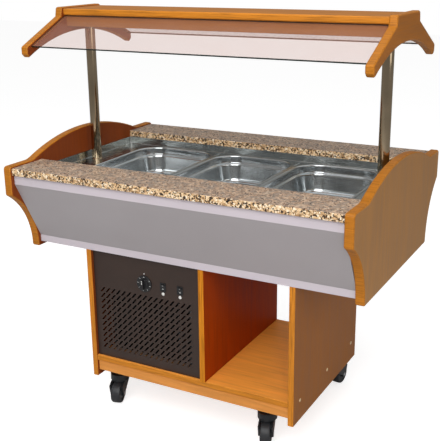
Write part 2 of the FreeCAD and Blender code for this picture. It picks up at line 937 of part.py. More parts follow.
def canopy_board():
    """Board between the brackets, with its long edges eased."""
    body = new_body("canopy_board")
    half = d.canopy_board_depth / 2
    prism(body, "XY", board_under, board_top,
          rectangle(-bracket_inner, bracket_inner, -half, half))
    ease_edges(body, d.wood_ease,
               runs_along("X", (half, board_top), (-half, board_top),
                          (half, board_under), (-half, board_under)))


def lamp_rails():
    """Wooden rails under the board that close the lamp space and back the panes."""
    rails = [block(f"lamp_rail_{i}", (-bracket_inner, bracket_inner), span,
                   (board_under - d.rail_height, board_under))
             for i, span in enumerate(both_ways(rail_inner, rail_outer))]
    group("lamp_rails", rails)


def lamp():
    """Batten under the board, two holders at its ends, and the tube between them."""
    batten = new_body("lamp_batten")
    half = d.lamp_length / 2 + d.holder_length + d.batten_margin
    wide = d.batten_width / 2
    low = board_under - d.batten_height
    prism(batten, "XZ", -wide, wide, rectangle(-half, half, low, board_under))
    inset = d.batten_sheet
    cut(batten, "XY", low + inset, board_under,
        rectangle(-half + inset, half - inset, -wide + inset, wide - inset))
    radius = d.lamp_bore / 2 + d.lamp_wall
    axis_z = low - d.lamp_drop
    tube_end = d.lamp_length / 2
    holders = []
    for index, side in enumerate((-1, 1)):
        ends = sorted((side * tube_end, side * (tube_end + d.holder_length)),
                      key=lambda s: s.number)
        holders.append(block(f"lamp_holder_{index}", ends,
                             (-d.holder_width / 2, d.holder_width / 2),
                             (axis_z - radius, low)))
    group("lamp_holders", holders)
    tube = new_body("lamp_tube")
    prism(tube, "YZ", -tube_end, tube_end, (0, axis_z, radius))


# ---------------------------------------------------------------- base cabinet

def upright(name, low, high, foot):
    """Upright cabinet panel with its front and rear edges eased."""
    body = new_body(name)
    prism(body, "XY", foot, floorboard_under, rectangle(low, high, -base_front, base_back))
    ease_edges(body, d.base_ease,
               runs_along("Z", (low, -base_front), (high, -base_front),
                          (low, base_back), (high, base_back)))


def cabinet_floor():
    """Floor between the outer panels, its long edges eased, with a housing for the partition."""
    body = new_body("cabinet_floor")
    front, back = base_front - d.base_ease, base_back - d.base_ease
    prism(body, "XY", cabinet_floor_under, cabinet_floor_top,
          rectangle(-base_inner, base_inner, -front, back))
    ease_edges(body, d.base_ease,
               runs_along("X", (-front, cabinet_floor_under), (-front, cabinet_floor_top),
                          (back, cabinet_floor_under), (back, cabinet_floor_top)))
    cut(body, "XY", cabinet_floor_top - d.partition_housing, cabinet_floor_top,
        rectangle(partition_left, partition_right, -front, back))


def plinths():
    """Rails under the floor, set back a little from its edges."""
    foot = cabinet_floor_under - d.plinth_height
    front = base_front - d.plinth_recess
    back = base_back - d.plinth_recess
    members = [block("plinth_front", (-base_inner, base_inner),
                     (-front, -front + d.plinth_thick), (foot, cabinet_floor_under)),
               block("plinth_back", (-base_inner, base_inner),
                     (back - d.plinth_thick, back), (foot, cabinet_floor_under))]
    group("plinths", members)


def screw_caps():
    """Covers of the screws that hold the floor between the two outer panels."""
    members = []
    height = cabinet_floor_under + d.base_thick / 2
    places = (-base_front + d.cap_front, (base_back - base_front) / 2,
              base_back - d.cap_front)
    for side in (-1, 1):
        for place in places:
            body = doc.addObject("PartDesign::Body", "screw_cap")
            low, high = sorted((side * base_outer, side * (base_outer + d.cap_height)),
                               key=lambda s: s.number)
            prism(body, "YZ", low, high, (place, height, d.cap_radius))
            members.append(body)
    group("screw_caps", members)


# ---------------------------------------------------------------- grilles

def slot_column(left, bottom):
    """One column of slanted slots, each a leaning parallelogram."""
    loops = []
    half_run, half_rise, half_width = d.slot_run / 2, d.slot_rise / 2, d.slot_width / 2
    for row in range(int(sheet.slot_rows)):
        middle = bottom + row * d.slot_pitch_up
        loops.append([(left - half_run - half_width, middle - half_rise),
                      (left - half_run + half_width, middle - half_rise),
                      (left + half_run + half_width, middle + half_rise),
                      (left + half_run - half_width, middle + half_rise)])
    return loops


def grille_tray(name, face, side):
    """Folded sheet panel: a face and four returns that run back into the cabinet."""
    body = new_body(name)
    back = face - side * d.grille_return
    skin = face - side * d.grille_sheet
    span = sorted((face, back), key=lambda s: s.number)
    hollow = sorted((skin, back), key=lambda s: s.number)
    inset = d.grille_sheet
    prism(body, "XZ", span[0], span[1],
          rectangle(grille_left, grille_right, grille_foot, grille_head))
    cut(body, "XZ", hollow[0], hollow[1],
        rectangle(grille_left + inset, grille_right - inset,
                  grille_foot + inset, grille_head - inset))
    return body


def pattern(body, feature, axis, pitch, count):
    """Repeats a feature in a row."""
    row = body.newObject("PartDesign::LinearPattern", f"{body.Name}_row")
    row.Originals = [feature]
    row.Direction = (origin_part(body, f"{axis}_Axis"), [""])
    row.Mode = "Spacing"
    bind(row, "Offset", pitch)
    bind(row, "Occurrences", count)
    body.Tip = row
    return row


def front_grille():
    """Control panel of the refrigerating set: slanted slots, and holes for the controls."""
    body = grille_tray("front_grille", -grille_face, -1)
    skin = -grille_face + d.grille_sheet
    cut(body, "XZ", -grille_face, skin,
        (knob_x, controls_height, d.spindle_radius + 1),
        pilot_loop(power_x), pilot_loop(light_x), switch_loop(power_x), switch_loop(light_x))
    column = cut(body, "XZ", -grille_face, skin,
                 *slot_column(-base_inner + d.slots_inset, grille_foot + d.slots_lift))
    pattern(body, column, "X", d.slot_pitch_across, d.slot_columns)


def pilot_loop(middle):
    """Hole of a pilot lamp."""
    return (middle, controls_height - d.pilot_drop, d.pilot_radius - 1 + d.fit)


def switch_loop(middle):
    """Cut-out of a rocker switch."""
    half_u = d.switch_width / 2 - d.switch_rim + d.fit
    half_v = d.switch_height / 2 - d.switch_rim + d.fit
    return rectangle(middle - half_u, middle + half_u,
                     controls_height - half_v, controls_height + half_v)


def rear_grille():
    """Rear panel of the refrigerating set, with level vents."""
    body = grille_tray("rear_grille", vent_face, 1)
    low = grille_foot + d.vent_lift
    vent = cut(body, "XZ", vent_face - d.grille_sheet, vent_face,
               rectangle(grille_left + d.vent_side, grille_right - d.vent_side,
                         low, low + d.vent_height))
    pattern(body, vent, "Z", d.vent_pitch, d.vent_rows)


# ---------------------------------------------------------------- controls

ALONG_X = (1, 0, 0)
UPRIGHT = (0, 0, 1)
FACING_FRONT = 90


def thermostat():
    """Control body behind the panel with its spindle, and the knob on it."""
    stat = new_body("thermostat")
    half = d.stat_width / 2
    behind = -d.grille_sheet
    prism(stat, "XY", behind - d.stat_depth, behind, rectangle(-half, half, -half, half))
    prism(stat, "XY", behind, d.skirt_thick + d.grip_height / 2, (0, 0, d.spindle_radius))
    set_down(stat, knob_x, -grille_face, controls_height, ALONG_X, FACING_FRONT)

    knob = new_body("thermostat_knob")
    head = d.skirt_thick + d.grip_height
    prism(knob, "XY", d.fit, d.skirt_thick, (0, 0, d.skirt_radius))
    prism(knob, "XY", d.skirt_thick, head, (0, 0, d.grip_radius))
    waist = d.grip_bar / 2
    side = d.grip_radius + 1
    scoop = d.skirt_thick + d.grip_height * 0.25
    for low, high in ((waist, side), (-side, -waist)):
        cut(knob, "XY", scoop, head + d.fit, rectangle(low, high, -side, side))
    cut(knob, "XY", d.fit, d.skirt_thick + d.grip_height / 2 + d.fit,
        (0, 0, d.spindle_radius + d.running_fit))
    set_down(knob, knob_x, -grille_face, controls_height, ALONG_X, FACING_FRONT)


def switches():
    """Two rocker switches: housings in one node, each rocker on its own pivot pin."""
    housings = []
    half_u, half_v = d.switch_width / 2, d.switch_height / 2
    rim = d.switch_rim
    opening_u, opening_v = half_u - d.rocker_margin, half_v - d.rocker_margin
    reach_u = opening_u - d.fit
    reach_v = opening_v - d.rocker_slack
    pin_reach = opening_u + d.pivot_bite
    for name, middle in (("power_rocker", power_x), ("light_rocker", light_x)):
        housing = doc.addObject("PartDesign::Body", f"{name}_housing")
        prism(housing, "XY", 0, rim, rectangle(-half_u, half_u, -half_v, half_v))
        prism(housing, "XY", -d.switch_depth, 0,
              rectangle(-half_u + rim, half_u - rim, -half_v + rim, half_v - rim))
        cut(housing, "XY", -d.switch_depth / 2, rim,
            rectangle(-opening_u, opening_u, -opening_v, opening_v))
        cut(housing, "YZ", -pin_reach - d.fit, pin_reach + d.fit,
            (0, 0, d.pivot_radius + d.running_fit))
        set_down(housing, middle, -grille_face, controls_height, ALONG_X, FACING_FRONT)
        housings.append(housing)

        rocker = new_body(name)
        proud = d.rocker_proud
        prism(rocker, "YZ", -reach_u, reach_u,
              [(-reach_v, -proud), (reach_v, -proud), (reach_v, proud), (0, proud / 2),
               (-reach_v, proud)])
        prism(rocker, "YZ", -pin_reach, pin_reach, (0, 0, d.pivot_radius))
        set_down(rocker, middle, -grille_face, controls_height, ALONG_X,
                 d.rocker_tilt + FACING_FRONT)
    group("switch_housings", housings)


def pilot_lamps():
    """Round pilot lamps under the switches."""
    lamps = []
    radius = d.pilot_radius
    for middle in (power_x, light_x):
        body = doc.addObject("PartDesign::Body", "pilot_lamp")
        turned(body, [(0, -d.pilot_reach), (radius - 1, -d.pilot_reach), (radius - 1, 0),
                      (radius, 0), (radius, d.pilot_proud), (0, d.pilot_proud)])
        set_down(body, middle, -grille_face, controls_height - d.pilot_drop, ALONG_X,
                 FACING_FRONT)
        lamps.append(body)
    group("pilot_lamps", lamps)


# ---------------------------------------------------------------- refrigerating set

set_floor = cabinet_floor_top + d.set_sheet
set_reach = base_back - d.set_inset
coil_left = -base_inner + d.coil_inset
coil_right = coil_left + d.coil_length
coil_middle = coil_left + d.coil_length / 2
coil_front = -set_reach + d.set_sheet
coil_back = coil_front + d.coil_thick
fan_height = set_floor + d.coil_height / 2
shroud_back = coil_back + d.shroud_depth
motor_front = shroud_back + d.fan_hub_length


def set_tray():
    """Steel tray with upturned front and rear edges that carries the whole set."""
    body = new_body("set_tray")
    outer, inner = set_reach, set_reach - d.set_sheet
    edge = set_floor + d.set_edge
    corners = [(-outer, cabinet_floor_top), (outer, cabinet_floor_top), (outer, edge),
               (inner, edge), (inner, set_floor), (-inner, set_floor), (-inner, edge),
               (-outer, edge)]
    prism(body, "YZ", -base_inner + d.set_left_inset, partition_left - d.set_right_inset,
          corners)


def condenser():
    """Fin block between two end plates, behind the front grille."""
    body = new_body("condenser")
    head = set_floor + d.coil_height
    prism(body, "XY", set_floor, head,
          rectangle(coil_left, coil_right, coil_front + d.plate_proud, coil_back))
    for low, high in ((coil_left, coil_left + d.shroud_sheet),
                      (coil_right - d.shroud_sheet, coil_right)):
        prism(body, "XY", set_floor, head, rectangle(low, high, coil_front, coil_back))


def fan_shroud():
    """Sheet box behind the condenser with a round throat, and the strap that holds the motor."""
    body = new_body("fan_shroud")
    inset = d.shroud_sheet
    head = set_floor + d.coil_height
    prism(body, "XZ", coil_back, shroud_back,
          rectangle(coil_left, coil_right, set_floor, head))
    cut(body, "XZ", coil_back, shroud_back - inset,
        rectangle(coil_left + inset, coil_right - inset, set_floor + inset, head - inset))
    cut(body, "XZ", shroud_back - inset, shroud_back,
        (coil_middle, fan_height, d.fan_bore))
    half = d.motor_strap / 2
    strap_far = motor_front + d.shroud_sheet
    prism(body, "XZ", motor_front, strap_far,
          rectangle(coil_middle - half, coil_middle + half, set_floor, head))
    for low, high in ((set_floor, set_floor + inset), (head - inset, head)):
        prism(body, "XZ", shroud_back, strap_far,
              rectangle(coil_middle - half, coil_middle + half, low, high))
    cut(body, "XZ", motor_front, strap_far,
        (coil_middle, fan_height, d.spindle_radius + 1))


def fan_motor():
    """Round motor behind the strap, with its shaft into the fan hub."""
    body = new_body("fan_motor")
    near = motor_front + d.shroud_sheet
    prism(body, "XZ", near, near + d.motor_length, (coil_middle, fan_height, d.motor_radius))
    prism(body, "XZ", shroud_back - d.fan_hub_length / 2, near,
          (coil_middle, fan_height, d.spindle_radius))


def condenser_fan():
    """Hub with a ring of pitched blades, turning in the throat of the shroud."""
    body = new_body("condenser_fan")
    half = d.fan_hub_length / 2
    prism(body, "XY", -half, half, (0, 0, d.fan_hub_radius))
    lead = d.blade_lead / 2
    chord = d.blade_chord / 2
    root_x = d.fan_hub_radius - d.blade_thick
    blade = prism(body, "YZ", root_x, d.fan_radius,
                  [(-chord, -lead), (-chord + d.blade_thick, -lead),
                   (chord, lead), (chord - d.blade_thick, lead)])
    ring = body.newObject("PartDesign::PolarPattern", "fan_ring")
    ring.Originals = [blade]
    ring.Axis = (origin_part(body, "Z_Axis"), [""])
    ring.Angle = 360
    bind(ring, "Occurrences", d.fan_blades)
    body.Tip = ring
    cut(body, "XY", -half, half, (0, 0, d.spindle_radius + d.running_fit))
    set_down(body, coil_middle, shroud_back, fan_height, ALONG_X, FACING_FRONT)


def compressor():
    """Hermetic compressor: seamed shell with a sloped crown, on a foot plate with grommets."""
    body = new_body("compressor")
    radius = d.pump_radius
    low = d.pump_foot_thick
    high = d.pump_height
    dome = d.pump_dome
    lip = radius + d.pump_lip
    seam_low = (high - d.pump_seam) / 2
    seam_high = (high + d.pump_seam) / 2
    turned(body, [(0, 0), (radius, 0), (radius, seam_low), (lip, seam_low), (lip, seam_high),
                  (radius, seam_high), (radius, high - dome), (radius - dome, high), (0, high)])
    half = d.pump_foot / 2
    narrow = radius - d.grommet_radius
    prism(body, "XY", 0, low, rectangle(-half, half, -narrow, narrow))
    spot_x = half - d.grommet_radius
    spot_y = narrow - d.grommet_radius
    prism(body, "XY", -d.pump_lift, 0,
          (-spot_x, -spot_y, d.grommet_radius), (spot_x, -spot_y, d.grommet_radius),
          (-spot_x, spot_y, d.grommet_radius), (spot_x, spot_y, d.grommet_radius))
    set_down(body, partition_left - d.pump_inset, d.pump_setback, set_floor + d.pump_lift)


# ---------------------------------------------------------------- castors

def castor_spots():
    """Name, place and swivel angle of each castor."""
    wide = base_outer - d.castor_inset
    narrow = wide - d.castor_shift
    front = -base_front + d.castor_setback
    back = (base_back - d.plinth_recess - d.plinth_thick - d.fit
            - d.socket_flange / 2)
    return (("front_left", -wide, front, d.front_swivel),
            ("front_right", narrow, front, d.front_swivel),
            ("rear_right", wide, back, d.back_swivel),
            ("rear_left", -narrow, back, d.back_swivel))


def stem_sockets():
    """Flanged sockets under the cabinet floor, one for each castor stem."""
    members = []
    bore = d.stem_radius + d.running_fit
    for _, x, y, _ in castor_spots():
        body = doc.addObject("PartDesign::Body", "stem_socket")
        half = d.socket_flange / 2
        prism(body, "XY", -d.socket_sheet, 0, rectangle(-half, half, -half, half))
        prism(body, "XY", -d.socket_drop, 0, (0, 0, bore + d.socket_wall))
        cut(body, "XY", -d.socket_drop, 0, (0, 0, bore))
        set_down(body, x, y, cabinet_floor_under)
        members.append(body)
    group("stem_sockets", members)


def castor_fork(name, x, y, swivel):
    """Hooded fork: round head, two cheeks down to the axle, and an arch for the wheel."""
    body = new_body(f"castor_fork_{name}")
    outer = d.wheel_width / 2 + d.wheel_gap + d.cheek_thick
    inner = d.wheel_width / 2 + d.wheel_gap
    top = head_top
    low = top - d.head_height
    waist = low - d.neck_height
    edge = d.head_radius
    turned(body, [(0, waist), (outer, waist), (edge, low), (edge, top), (0, top)])
    boss = d.boss_radius
    axle_x, axle_z = d.castor_trail, d.wheel_radius
    prism(body, "XZ", -outer, outer,
          [(axle_x - boss, axle_z), (axle_x, axle_z - boss, boss, 1),
           (axle_x + boss, axle_z, boss, 1),
           (axle_x + edge * 0.7, waist), (edge * 0.8, low), (-edge * 0.8, low),
           (-edge, waist)])
    arch = d.wheel_radius + d.arch_gap
    cut(body, "XZ", -inner, inner,
        [(axle_x - arch, -d.arch_gap), (axle_x + arch, -d.arch_gap), (axle_x + arch, axle_z),
         (axle_x, axle_z + arch, arch, 1), (axle_x - arch, axle_z, arch, 1)])
    cut(body, "XZ", -outer, outer, (axle_x, axle_z, d.axle_radius))
    cut(body, "XY", top - d.stem_seat, top, (0, 0, d.stem_radius))
    set_down(body, x, y, 0, UPRIGHT, swivel)


def castor_pins(name, x, y, swivel):
    """Stem in the head of the fork, and the axle across its cheeks."""
    outer = d.wheel_width / 2 + d.wheel_gap + d.cheek_thick
    stem = doc.addObject("PartDesign::Body", f"stem_{name}")
    prism(stem, "XY", head_top - d.stem_seat, cabinet_floor_under - d.socket_sheet,
          (0, 0, d.stem_radius))
    set_down(stem, x, y, 0, UPRIGHT, swivel)
    axle = doc.addObject("PartDesign::Body", f"axle_{name}")
    prism(axle, "XZ", -outer, outer, (d.castor_trail, d.wheel_radius, d.axle_radius))
    set_down(axle, x, y, 0, UPRIGHT, swivel)
    group(f"castor_pins_{name}", [stem, axle])


def castor_wheel(name, x, y, swivel):
    """Moulded wheel with the edges of its tread eased, turning on the axle."""
    half = d.wheel_width / 2
    outer = d.wheel_radius
    ease = d.tread_ease
    bore = d.axle_radius + d.running_fit
    wheel = new_body(f"castor_wheel_{name}")
    turned(wheel, [(bore, -half), (outer - ease, -half), (outer, ease - half),
                   (outer, half - ease), (outer - ease, half), (bore, half)], "XY", "Y")
    reach = d.castor_trail
    set_down(wheel, x + reach * cosine(swivel), y + reach * sine(swivel), outer, UPRIGHT, swivel)


def castors():
    """Four swivel castors."""
    for spot in castor_spots():
        castor_fork(*spot)
        castor_pins(*spot)
        castor_wheel(*spot)


# ---------------------------------------------------------------- build, check and write

def build():
    """Makes every piece."""
    end_panel("left_end_panel", -half_length, -end_inner)
    end_panel("right_end_panel", end_inner, half_length)
    stone_slab("front_stone", -stone_outer, -stone_inner)
    stone_slab("rear_stone", stone_inner, stone_outer)
    counter_boards()
    fascias()
    trims()
    carcass_floor()
    well_liner()
    well_insulation()
    well_casing()
    pan_bars()
    for name, index in (("left_pan", -1), ("middle_pan", 0), ("right_pan", 1)):
        food_pan(name, index)
    post("left_post", -1)
    post("right_post", 1)
    canopy_bracket("left_bracket", -1)
    canopy_bracket("right_bracket", 1)
    glass_panes()
    canopy_board()
    lamp_rails()
    lamp()
    upright("base_left_panel", -base_outer, -base_inner, base_foot)
    upright("base_right_panel", base_inner, base_outer, base_foot)
    upright("base_partition", partition_left, partition_right,
            cabinet_floor_top - d.partition_housing)
    cabinet_floor()
    plinths()
    screw_caps()
    front_grille()
    rear_grille()
    thermostat()
    switches()
    pilot_lamps()
    set_tray()
    condenser()
    fan_shroud()
    fan_motor()
    condenser_fan()
    compressor()
    stem_sockets()
    castors()


def check():
    """Stops if any object failed or any piece has a bad shape."""
    for thing in doc.Objects:
        if "Invalid" in thing.State or "Error" in thing.State:
            raise RuntimeError(f"{thing.Label}: {thing.State}")
    for piece in pieces:
        if piece.Shape.isNull() or not piece.Shape.isValid():
            raise RuntimeError(f"{piece.Label}: bad shape")
        if not piece.Shape.Solids:
            raise RuntimeError(f"{piece.Label}: no solid")


build()
doc.recompute()
check()
os.makedirs("parts", exist_ok=True)
for piece in pieces:
    piece.Shape.exportStep(f"parts/{piece.Label}.step")
print(f"{len(pieces)} pieces written")
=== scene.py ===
import json
import math
from contextlib import contextmanager

import bmesh
import bpy
from bpy.props import FloatProperty, FloatVectorProperty, IntProperty, PointerProperty
from mathutils import Matrix, Vector


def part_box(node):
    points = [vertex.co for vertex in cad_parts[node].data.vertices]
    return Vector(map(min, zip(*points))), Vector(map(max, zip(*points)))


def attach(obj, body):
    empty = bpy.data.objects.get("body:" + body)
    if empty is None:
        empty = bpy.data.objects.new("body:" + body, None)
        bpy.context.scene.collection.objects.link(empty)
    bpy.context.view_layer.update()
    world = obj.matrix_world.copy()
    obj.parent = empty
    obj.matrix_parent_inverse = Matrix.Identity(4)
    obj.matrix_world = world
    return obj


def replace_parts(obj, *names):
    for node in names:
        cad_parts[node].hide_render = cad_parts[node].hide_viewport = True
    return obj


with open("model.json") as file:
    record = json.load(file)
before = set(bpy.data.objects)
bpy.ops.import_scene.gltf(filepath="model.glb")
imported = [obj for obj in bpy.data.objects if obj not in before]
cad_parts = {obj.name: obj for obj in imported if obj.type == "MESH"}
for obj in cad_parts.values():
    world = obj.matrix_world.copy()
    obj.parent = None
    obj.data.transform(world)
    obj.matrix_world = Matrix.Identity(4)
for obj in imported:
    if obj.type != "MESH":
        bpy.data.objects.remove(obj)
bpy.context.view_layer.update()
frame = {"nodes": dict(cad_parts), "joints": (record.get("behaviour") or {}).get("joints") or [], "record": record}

bl_info = {
    "name": "Mobile salad bar",
    "version": (1, 0, 0),
    "blender": (4, 5, 0),
    "location": "3D View > Sidebar > Salad bar",
    "description": "Dresses the packed salad bar: wood, stone, steel, glass, grille and castors",
    "category": "Object",
}


# ------------------------------------------------------------------ shader wiring

class Wiring:
    """Adds nodes to a tree and links them in one call each."""

    def __init__(self, tree):
        self.tree = tree

    def add(self, kind, inputs=None, **settings):
        """A node of that kind. An input takes a plain value, or a socket to link."""
        node = self.tree.nodes.new(kind)
        for name, value in settings.items():
            setattr(node, name, value)
        for key, value in (inputs or {}).items():
            socket = node.inputs[key]
            if isinstance(value, bpy.types.NodeSocket):
                self.tree.links.new(value, socket)
            else:
                socket.default_value = solid(value) if socket.type == "RGBA" else value
        return node

    def spot(self, output="Object"):
        """Object coordinates, or the object-space normal."""
        return self.add("ShaderNodeTexCoord").outputs[output]

    def facing(self, axis):
        """How squarely the surface faces along an axis: 1 square on, 0 edge on."""
        split = self.add("ShaderNodeSeparateXYZ", {0: self.spot("Normal")})
        return self.mathing("ABSOLUTE", split.outputs["XYZ".index(axis)])

    def mathing(self, operation, a, b=0.0):
        """Math node's result."""
        return self.add("ShaderNodeMath", {0: a, 1: b}, operation=operation).outputs[0]

    def vector(self, operation, a, b):
        """Vector math node's result."""
        key = "Scale" if operation == "SCALE" else 1
        return self.add("ShaderNodeVectorMath", {0: a, key: b}, operation=operation).outputs[0]

    def blend(self, factor, a, b):
        """Mixed colour."""
        return self.add("ShaderNodeMix", {0: factor, 6: a, 7: b}, data_type="RGBA").outputs[2]

    def ramp(self, factor, stops):
        """Colour ramp from (place, colour) stops."""
        node = self.add("ShaderNodeValToRGB", {0: factor})
        elements = node.color_ramp.elements
        while len(elements) > 1:
            elements.remove(elements[-1])
        elements[0].position, elements[0].color = stops[0][0], solid(stops[0][1])
        for place, colour in stops[1:]:
            elements.new(place).color = solid(colour)
        return node.outputs[0]

    def tone(self, value, colour, low, high):
        """Two shades of a colour, each end given as (place, share)."""
        return self.ramp(value, [(place, shade(colour, share)) for place, share in (low, high)])

    def spread(self, value, low, high, to_low, to_high, smooth=False):
        """Value carried from one range to another."""
        kind = "SMOOTHSTEP" if smooth else "LINEAR"
        return self.add("ShaderNodeMapRange", {0: value, 1: low, 2: high, 3: to_low, 4: to_high},
                        interpolation_type=kind).outputs[0]

    def about(self, value, middle, reach):
        """Noise carried to a range about a middle."""
        return self.spread(value, 0.3, 0.7, middle - reach, middle + reach)

    def noise(self, scale, detail=4.0, roughness=0.55, distortion=0.0, at=None):
        """Noise value."""
        vector = self.spot() if at is None else at
        return self.add("ShaderNodeTexNoise",
                        {"Vector": vector, "Scale": scale, "Detail": detail,
                         "Roughness": roughness, "Distortion": distortion}).outputs[0]

    def grain(self, scales, detail, roughness=0.55, distortion=0.0):
        """Noise with a scale of its own along each axis."""
        mapped = self.add("ShaderNodeMapping", {"Vector": self.spot(), "Scale": scales})
        return self.noise(1.0, detail, roughness, distortion, mapped.outputs[0])

    def cells(self, scale, at=None):
        """Three random values for each cell."""
        vector = self.spot() if at is None else at
        cell = self.add("ShaderNodeTexVoronoi", {"Vector": vector, "Scale": scale})
        return self.add("ShaderNodeSeparateColor", {0: cell.outputs["Color"]}).outputs

    def bump(self, height, strength, distance):
        """Normal from a height."""
        return self.add("ShaderNodeBump", {"Height": height, "Strength": strength,
                                           "Distance": distance}).outputs[0]


def new_material(name):
    """Wiring of an empty material, and a function that adds its surface and returns it."""
    material = bpy.data.materials.new(name)
    material.use_nodes = True
    material.node_tree.nodes.clear()
    wiring = Wiring(material.node_tree)

    def surface(**inputs):
        named = {key.replace("_", " "): value for key, value in inputs.items()}
        shader = wiring.add("ShaderNodeBsdfPrincipled", named)
        wiring.add("ShaderNodeOutputMaterial", {0: shader.outputs[0]})
        return material

    return wiring, surface


# ------------------------------------------------------------------ colours

def solid(colour):
    """Colour with an alpha of one."""
    return (*colour[:3], 1.0)


def chart(red, green, blue):
    """Colour as seen on a screen, 0 to 255, made linear."""
    return tuple(((v / 255 + 0.055) / 1.055) ** 2.4 for v in (red, green, blue))


def charted(*rows):
    """Ramp stops from (place, red, green, blue) rows."""
    return [(place, chart(*colour)) for place, *colour in rows]


def shade(colour, share):
    """Darker or lighter colour."""
    return tuple(min(1.0, c * share) for c in colour[:3])


def along(axis, lengthways, across):
    """Scales of a grain that runs along one axis."""
    scale = [across] * 3
    scale["XYZ".index(axis)] = lengthways
    return scale


# ------------------------------------------------------------------ materials

# Strength of a lacquer's shine.
DULL, SATIN = 0.05, 0.20


def lacquered_wood(name, face_axis, grain, band_grain, face, band, sheen):
    """Veneered board: fine straight grain on its faces, brighter solid wood round its edges."""
    wiring, surface = new_material(name)
    figure = wiring.grain(along(grain, 3.0, 46.0), 5.0, 0.6, 1.1)
    streak = wiring.grain(along(grain, 9.0, 340.0), 3.0, 0.6)
    cloud = wiring.noise(4.0, 2.0)
    dark, light = shade(face, 0.80), shade(face, 1.14)
    figured = wiring.ramp(figure, [(0.30, dark), (0.50, face), (0.72, light)])
    figured = wiring.blend(wiring.spread(cloud, 0.35, 0.65, 0.0, 0.30), figured, dark)
    figured = wiring.blend(wiring.spread(streak, 0.50, 0.72, 0.0, 0.32), figured,
                           shade(face, 0.60))
    lines = wiring.grain(along(band_grain, 10.0, 300.0), 3.0, 0.6)
    swell = wiring.grain(along(band_grain, 5.0, 30.0), 3.0)
    banded = wiring.ramp(lines, [(0.34, shade(band, 0.62)), (0.50, band),
                                 (0.66, shade(band, 1.12))])
    banded = wiring.blend(wiring.spread(swell, 0.40, 0.66, 0.0, 0.40), banded, shade(band, 0.70))
    edge = wiring.spread(wiring.facing(face_axis), 0.80, 0.93, 1.0, 0.0, True)
    height = wiring.mathing("ADD", wiring.mathing("MULTIPLY", figure, 0.5), streak)
    return surface(Base_Color=wiring.blend(edge, figured, banded),
                   Roughness=wiring.spread(figure, 0.3, 0.7, 0.40, 0.52),
                   Normal=wiring.bump(height, 0.08, 0.0006), Specular_IOR_Level=sheen)


def granite(name):
    """Polished speckled stone: cream, salmon and black grains, with painted light on its cut edges, which are
    drawn brighter for the light that falls on them.
    """
    wiring, surface = new_material(name)
    place = wiring.spot()
    wobble = wiring.add("ShaderNodeTexNoise", {"Vector": place, "Scale": 120.0, "Detail": 2.0})
    shifted = wiring.vector("SUBTRACT", wobble.outputs["Color"], (0.5, 0.5, 0.5))
    warped = wiring.vector("ADD", place, wiring.vector("SCALE", shifted, 0.012))
    pick, patch = wiring.cells(215.0, warped), wiring.cells(95.0, warped)
    top = wiring.ramp(pick[0], charted((0.00, 62, 52, 46), (0.16, 106, 86, 70),
                                       (0.34, 158, 128, 104), (0.58, 181, 148, 121),
                                       (0.82, 196, 168, 141), (1.00, 214, 196, 174)))
    grey = wiring.ramp(pick[1], charted((0.0, 88, 80, 74), (1.0, 168, 152, 138)))
    top = wiring.blend(wiring.spread(patch[2], 0.62, 0.68, 0.0, 0.70), top, grey)
    # Painted light: a brighter, higher-contrast copy of the stone's colours for the cut edges, standing in for the
    # light on them.
    side = wiring.ramp(pick[0], charted((0.00, 30, 24, 20), (0.24, 72, 54, 40),
                                        (0.38, 168, 132, 92), (0.60, 208, 172, 128),
                                        (0.85, 226, 200, 162), (1.00, 240, 228, 206)))
    painted_light_on_edges = wiring.spread(wiring.facing("Z"), 0.55, 0.90, 1.0, 0.0, True)
    return surface(Base_Color=wiring.blend(painted_light_on_edges, top, side),
                   Roughness=wiring.spread(pick[0], 0.0, 1.0, 0.26, 0.40),
                   Specular_IOR_Level=0.35)


def laminate(name, colour, roughness):
    """Smooth laminate or lacquer with a faint mottle."""
    wiring, surface = new_material(name)
    mottle = wiring.noise(2.4, 3.0)
    return surface(Base_Color=wiring.tone(mottle, colour, (0.35, 0.965), (0.65, 1.03)),
                   Roughness=wiring.about(mottle, roughness, 0.04), Specular_IOR_Level=0.35,
                   Normal=wiring.bump(wiring.noise(900.0, 2.0), 0.04, 0.0002))


def studio_floor(name, colour, glow):
    """Pale paper floor, lit from behind where the eye sees it."""
    wiring, surface = new_material(name)
    seen = wiring.add("ShaderNodeLightPath").outputs["Is Camera Ray"]
    return surface(Base_Color=colour, Roughness=0.9, Specular_IOR_Level=0.0,
                   Emission_Color=(1, 1, 1),
                   Emission_Strength=wiring.mathing("MULTIPLY", seen, glow))


def brushed_steel(name, brush_axis, colour=(0.40, 0.415, 0.405), roughness=0.20, marks=0.08):
    """Stainless sheet with a brushed grain along one axis."""
    wiring, surface = new_material(name)
    strokes = wiring.grain(along(brush_axis, 9.0, 900.0), 3.0, 0.6)
    smear = wiring.noise(7.0, 3.0)
    rough = wiring.mathing("ADD", wiring.spread(strokes, 0.3, 0.7, roughness - 0.05,
                                                roughness + 0.06),
                           wiring.spread(smear, 0.35, 0.7, 0.0, 0.06))
    return surface(Base_Color=wiring.tone(smear, colour, (0.3, 0.96), (0.7, 1.04)), Metallic=1.0,
                   Roughness=rough, Normal=wiring.bump(strokes, marks, 0.0004))


def drawn_steel(name):
    """Deep-drawn pan steel: satin, a little smeared, with a cool tint."""
    wiring, surface = new_material(name)
    smear = wiring.grain((9.0, 9.0, 22.0), 4.0, 0.6)
    tone = wiring.ramp(smear, [(0.30, (0.44, 0.465, 0.475)), (0.70, (0.50, 0.52, 0.53))])
    return surface(Base_Color=tone, Metallic=1.0,
                   Roughness=wiring.spread(smear, 0.3, 0.7, 0.15, 0.21),
                   Normal=wiring.bump(wiring.noise(60.0, 2.0), 0.04, 0.0003))


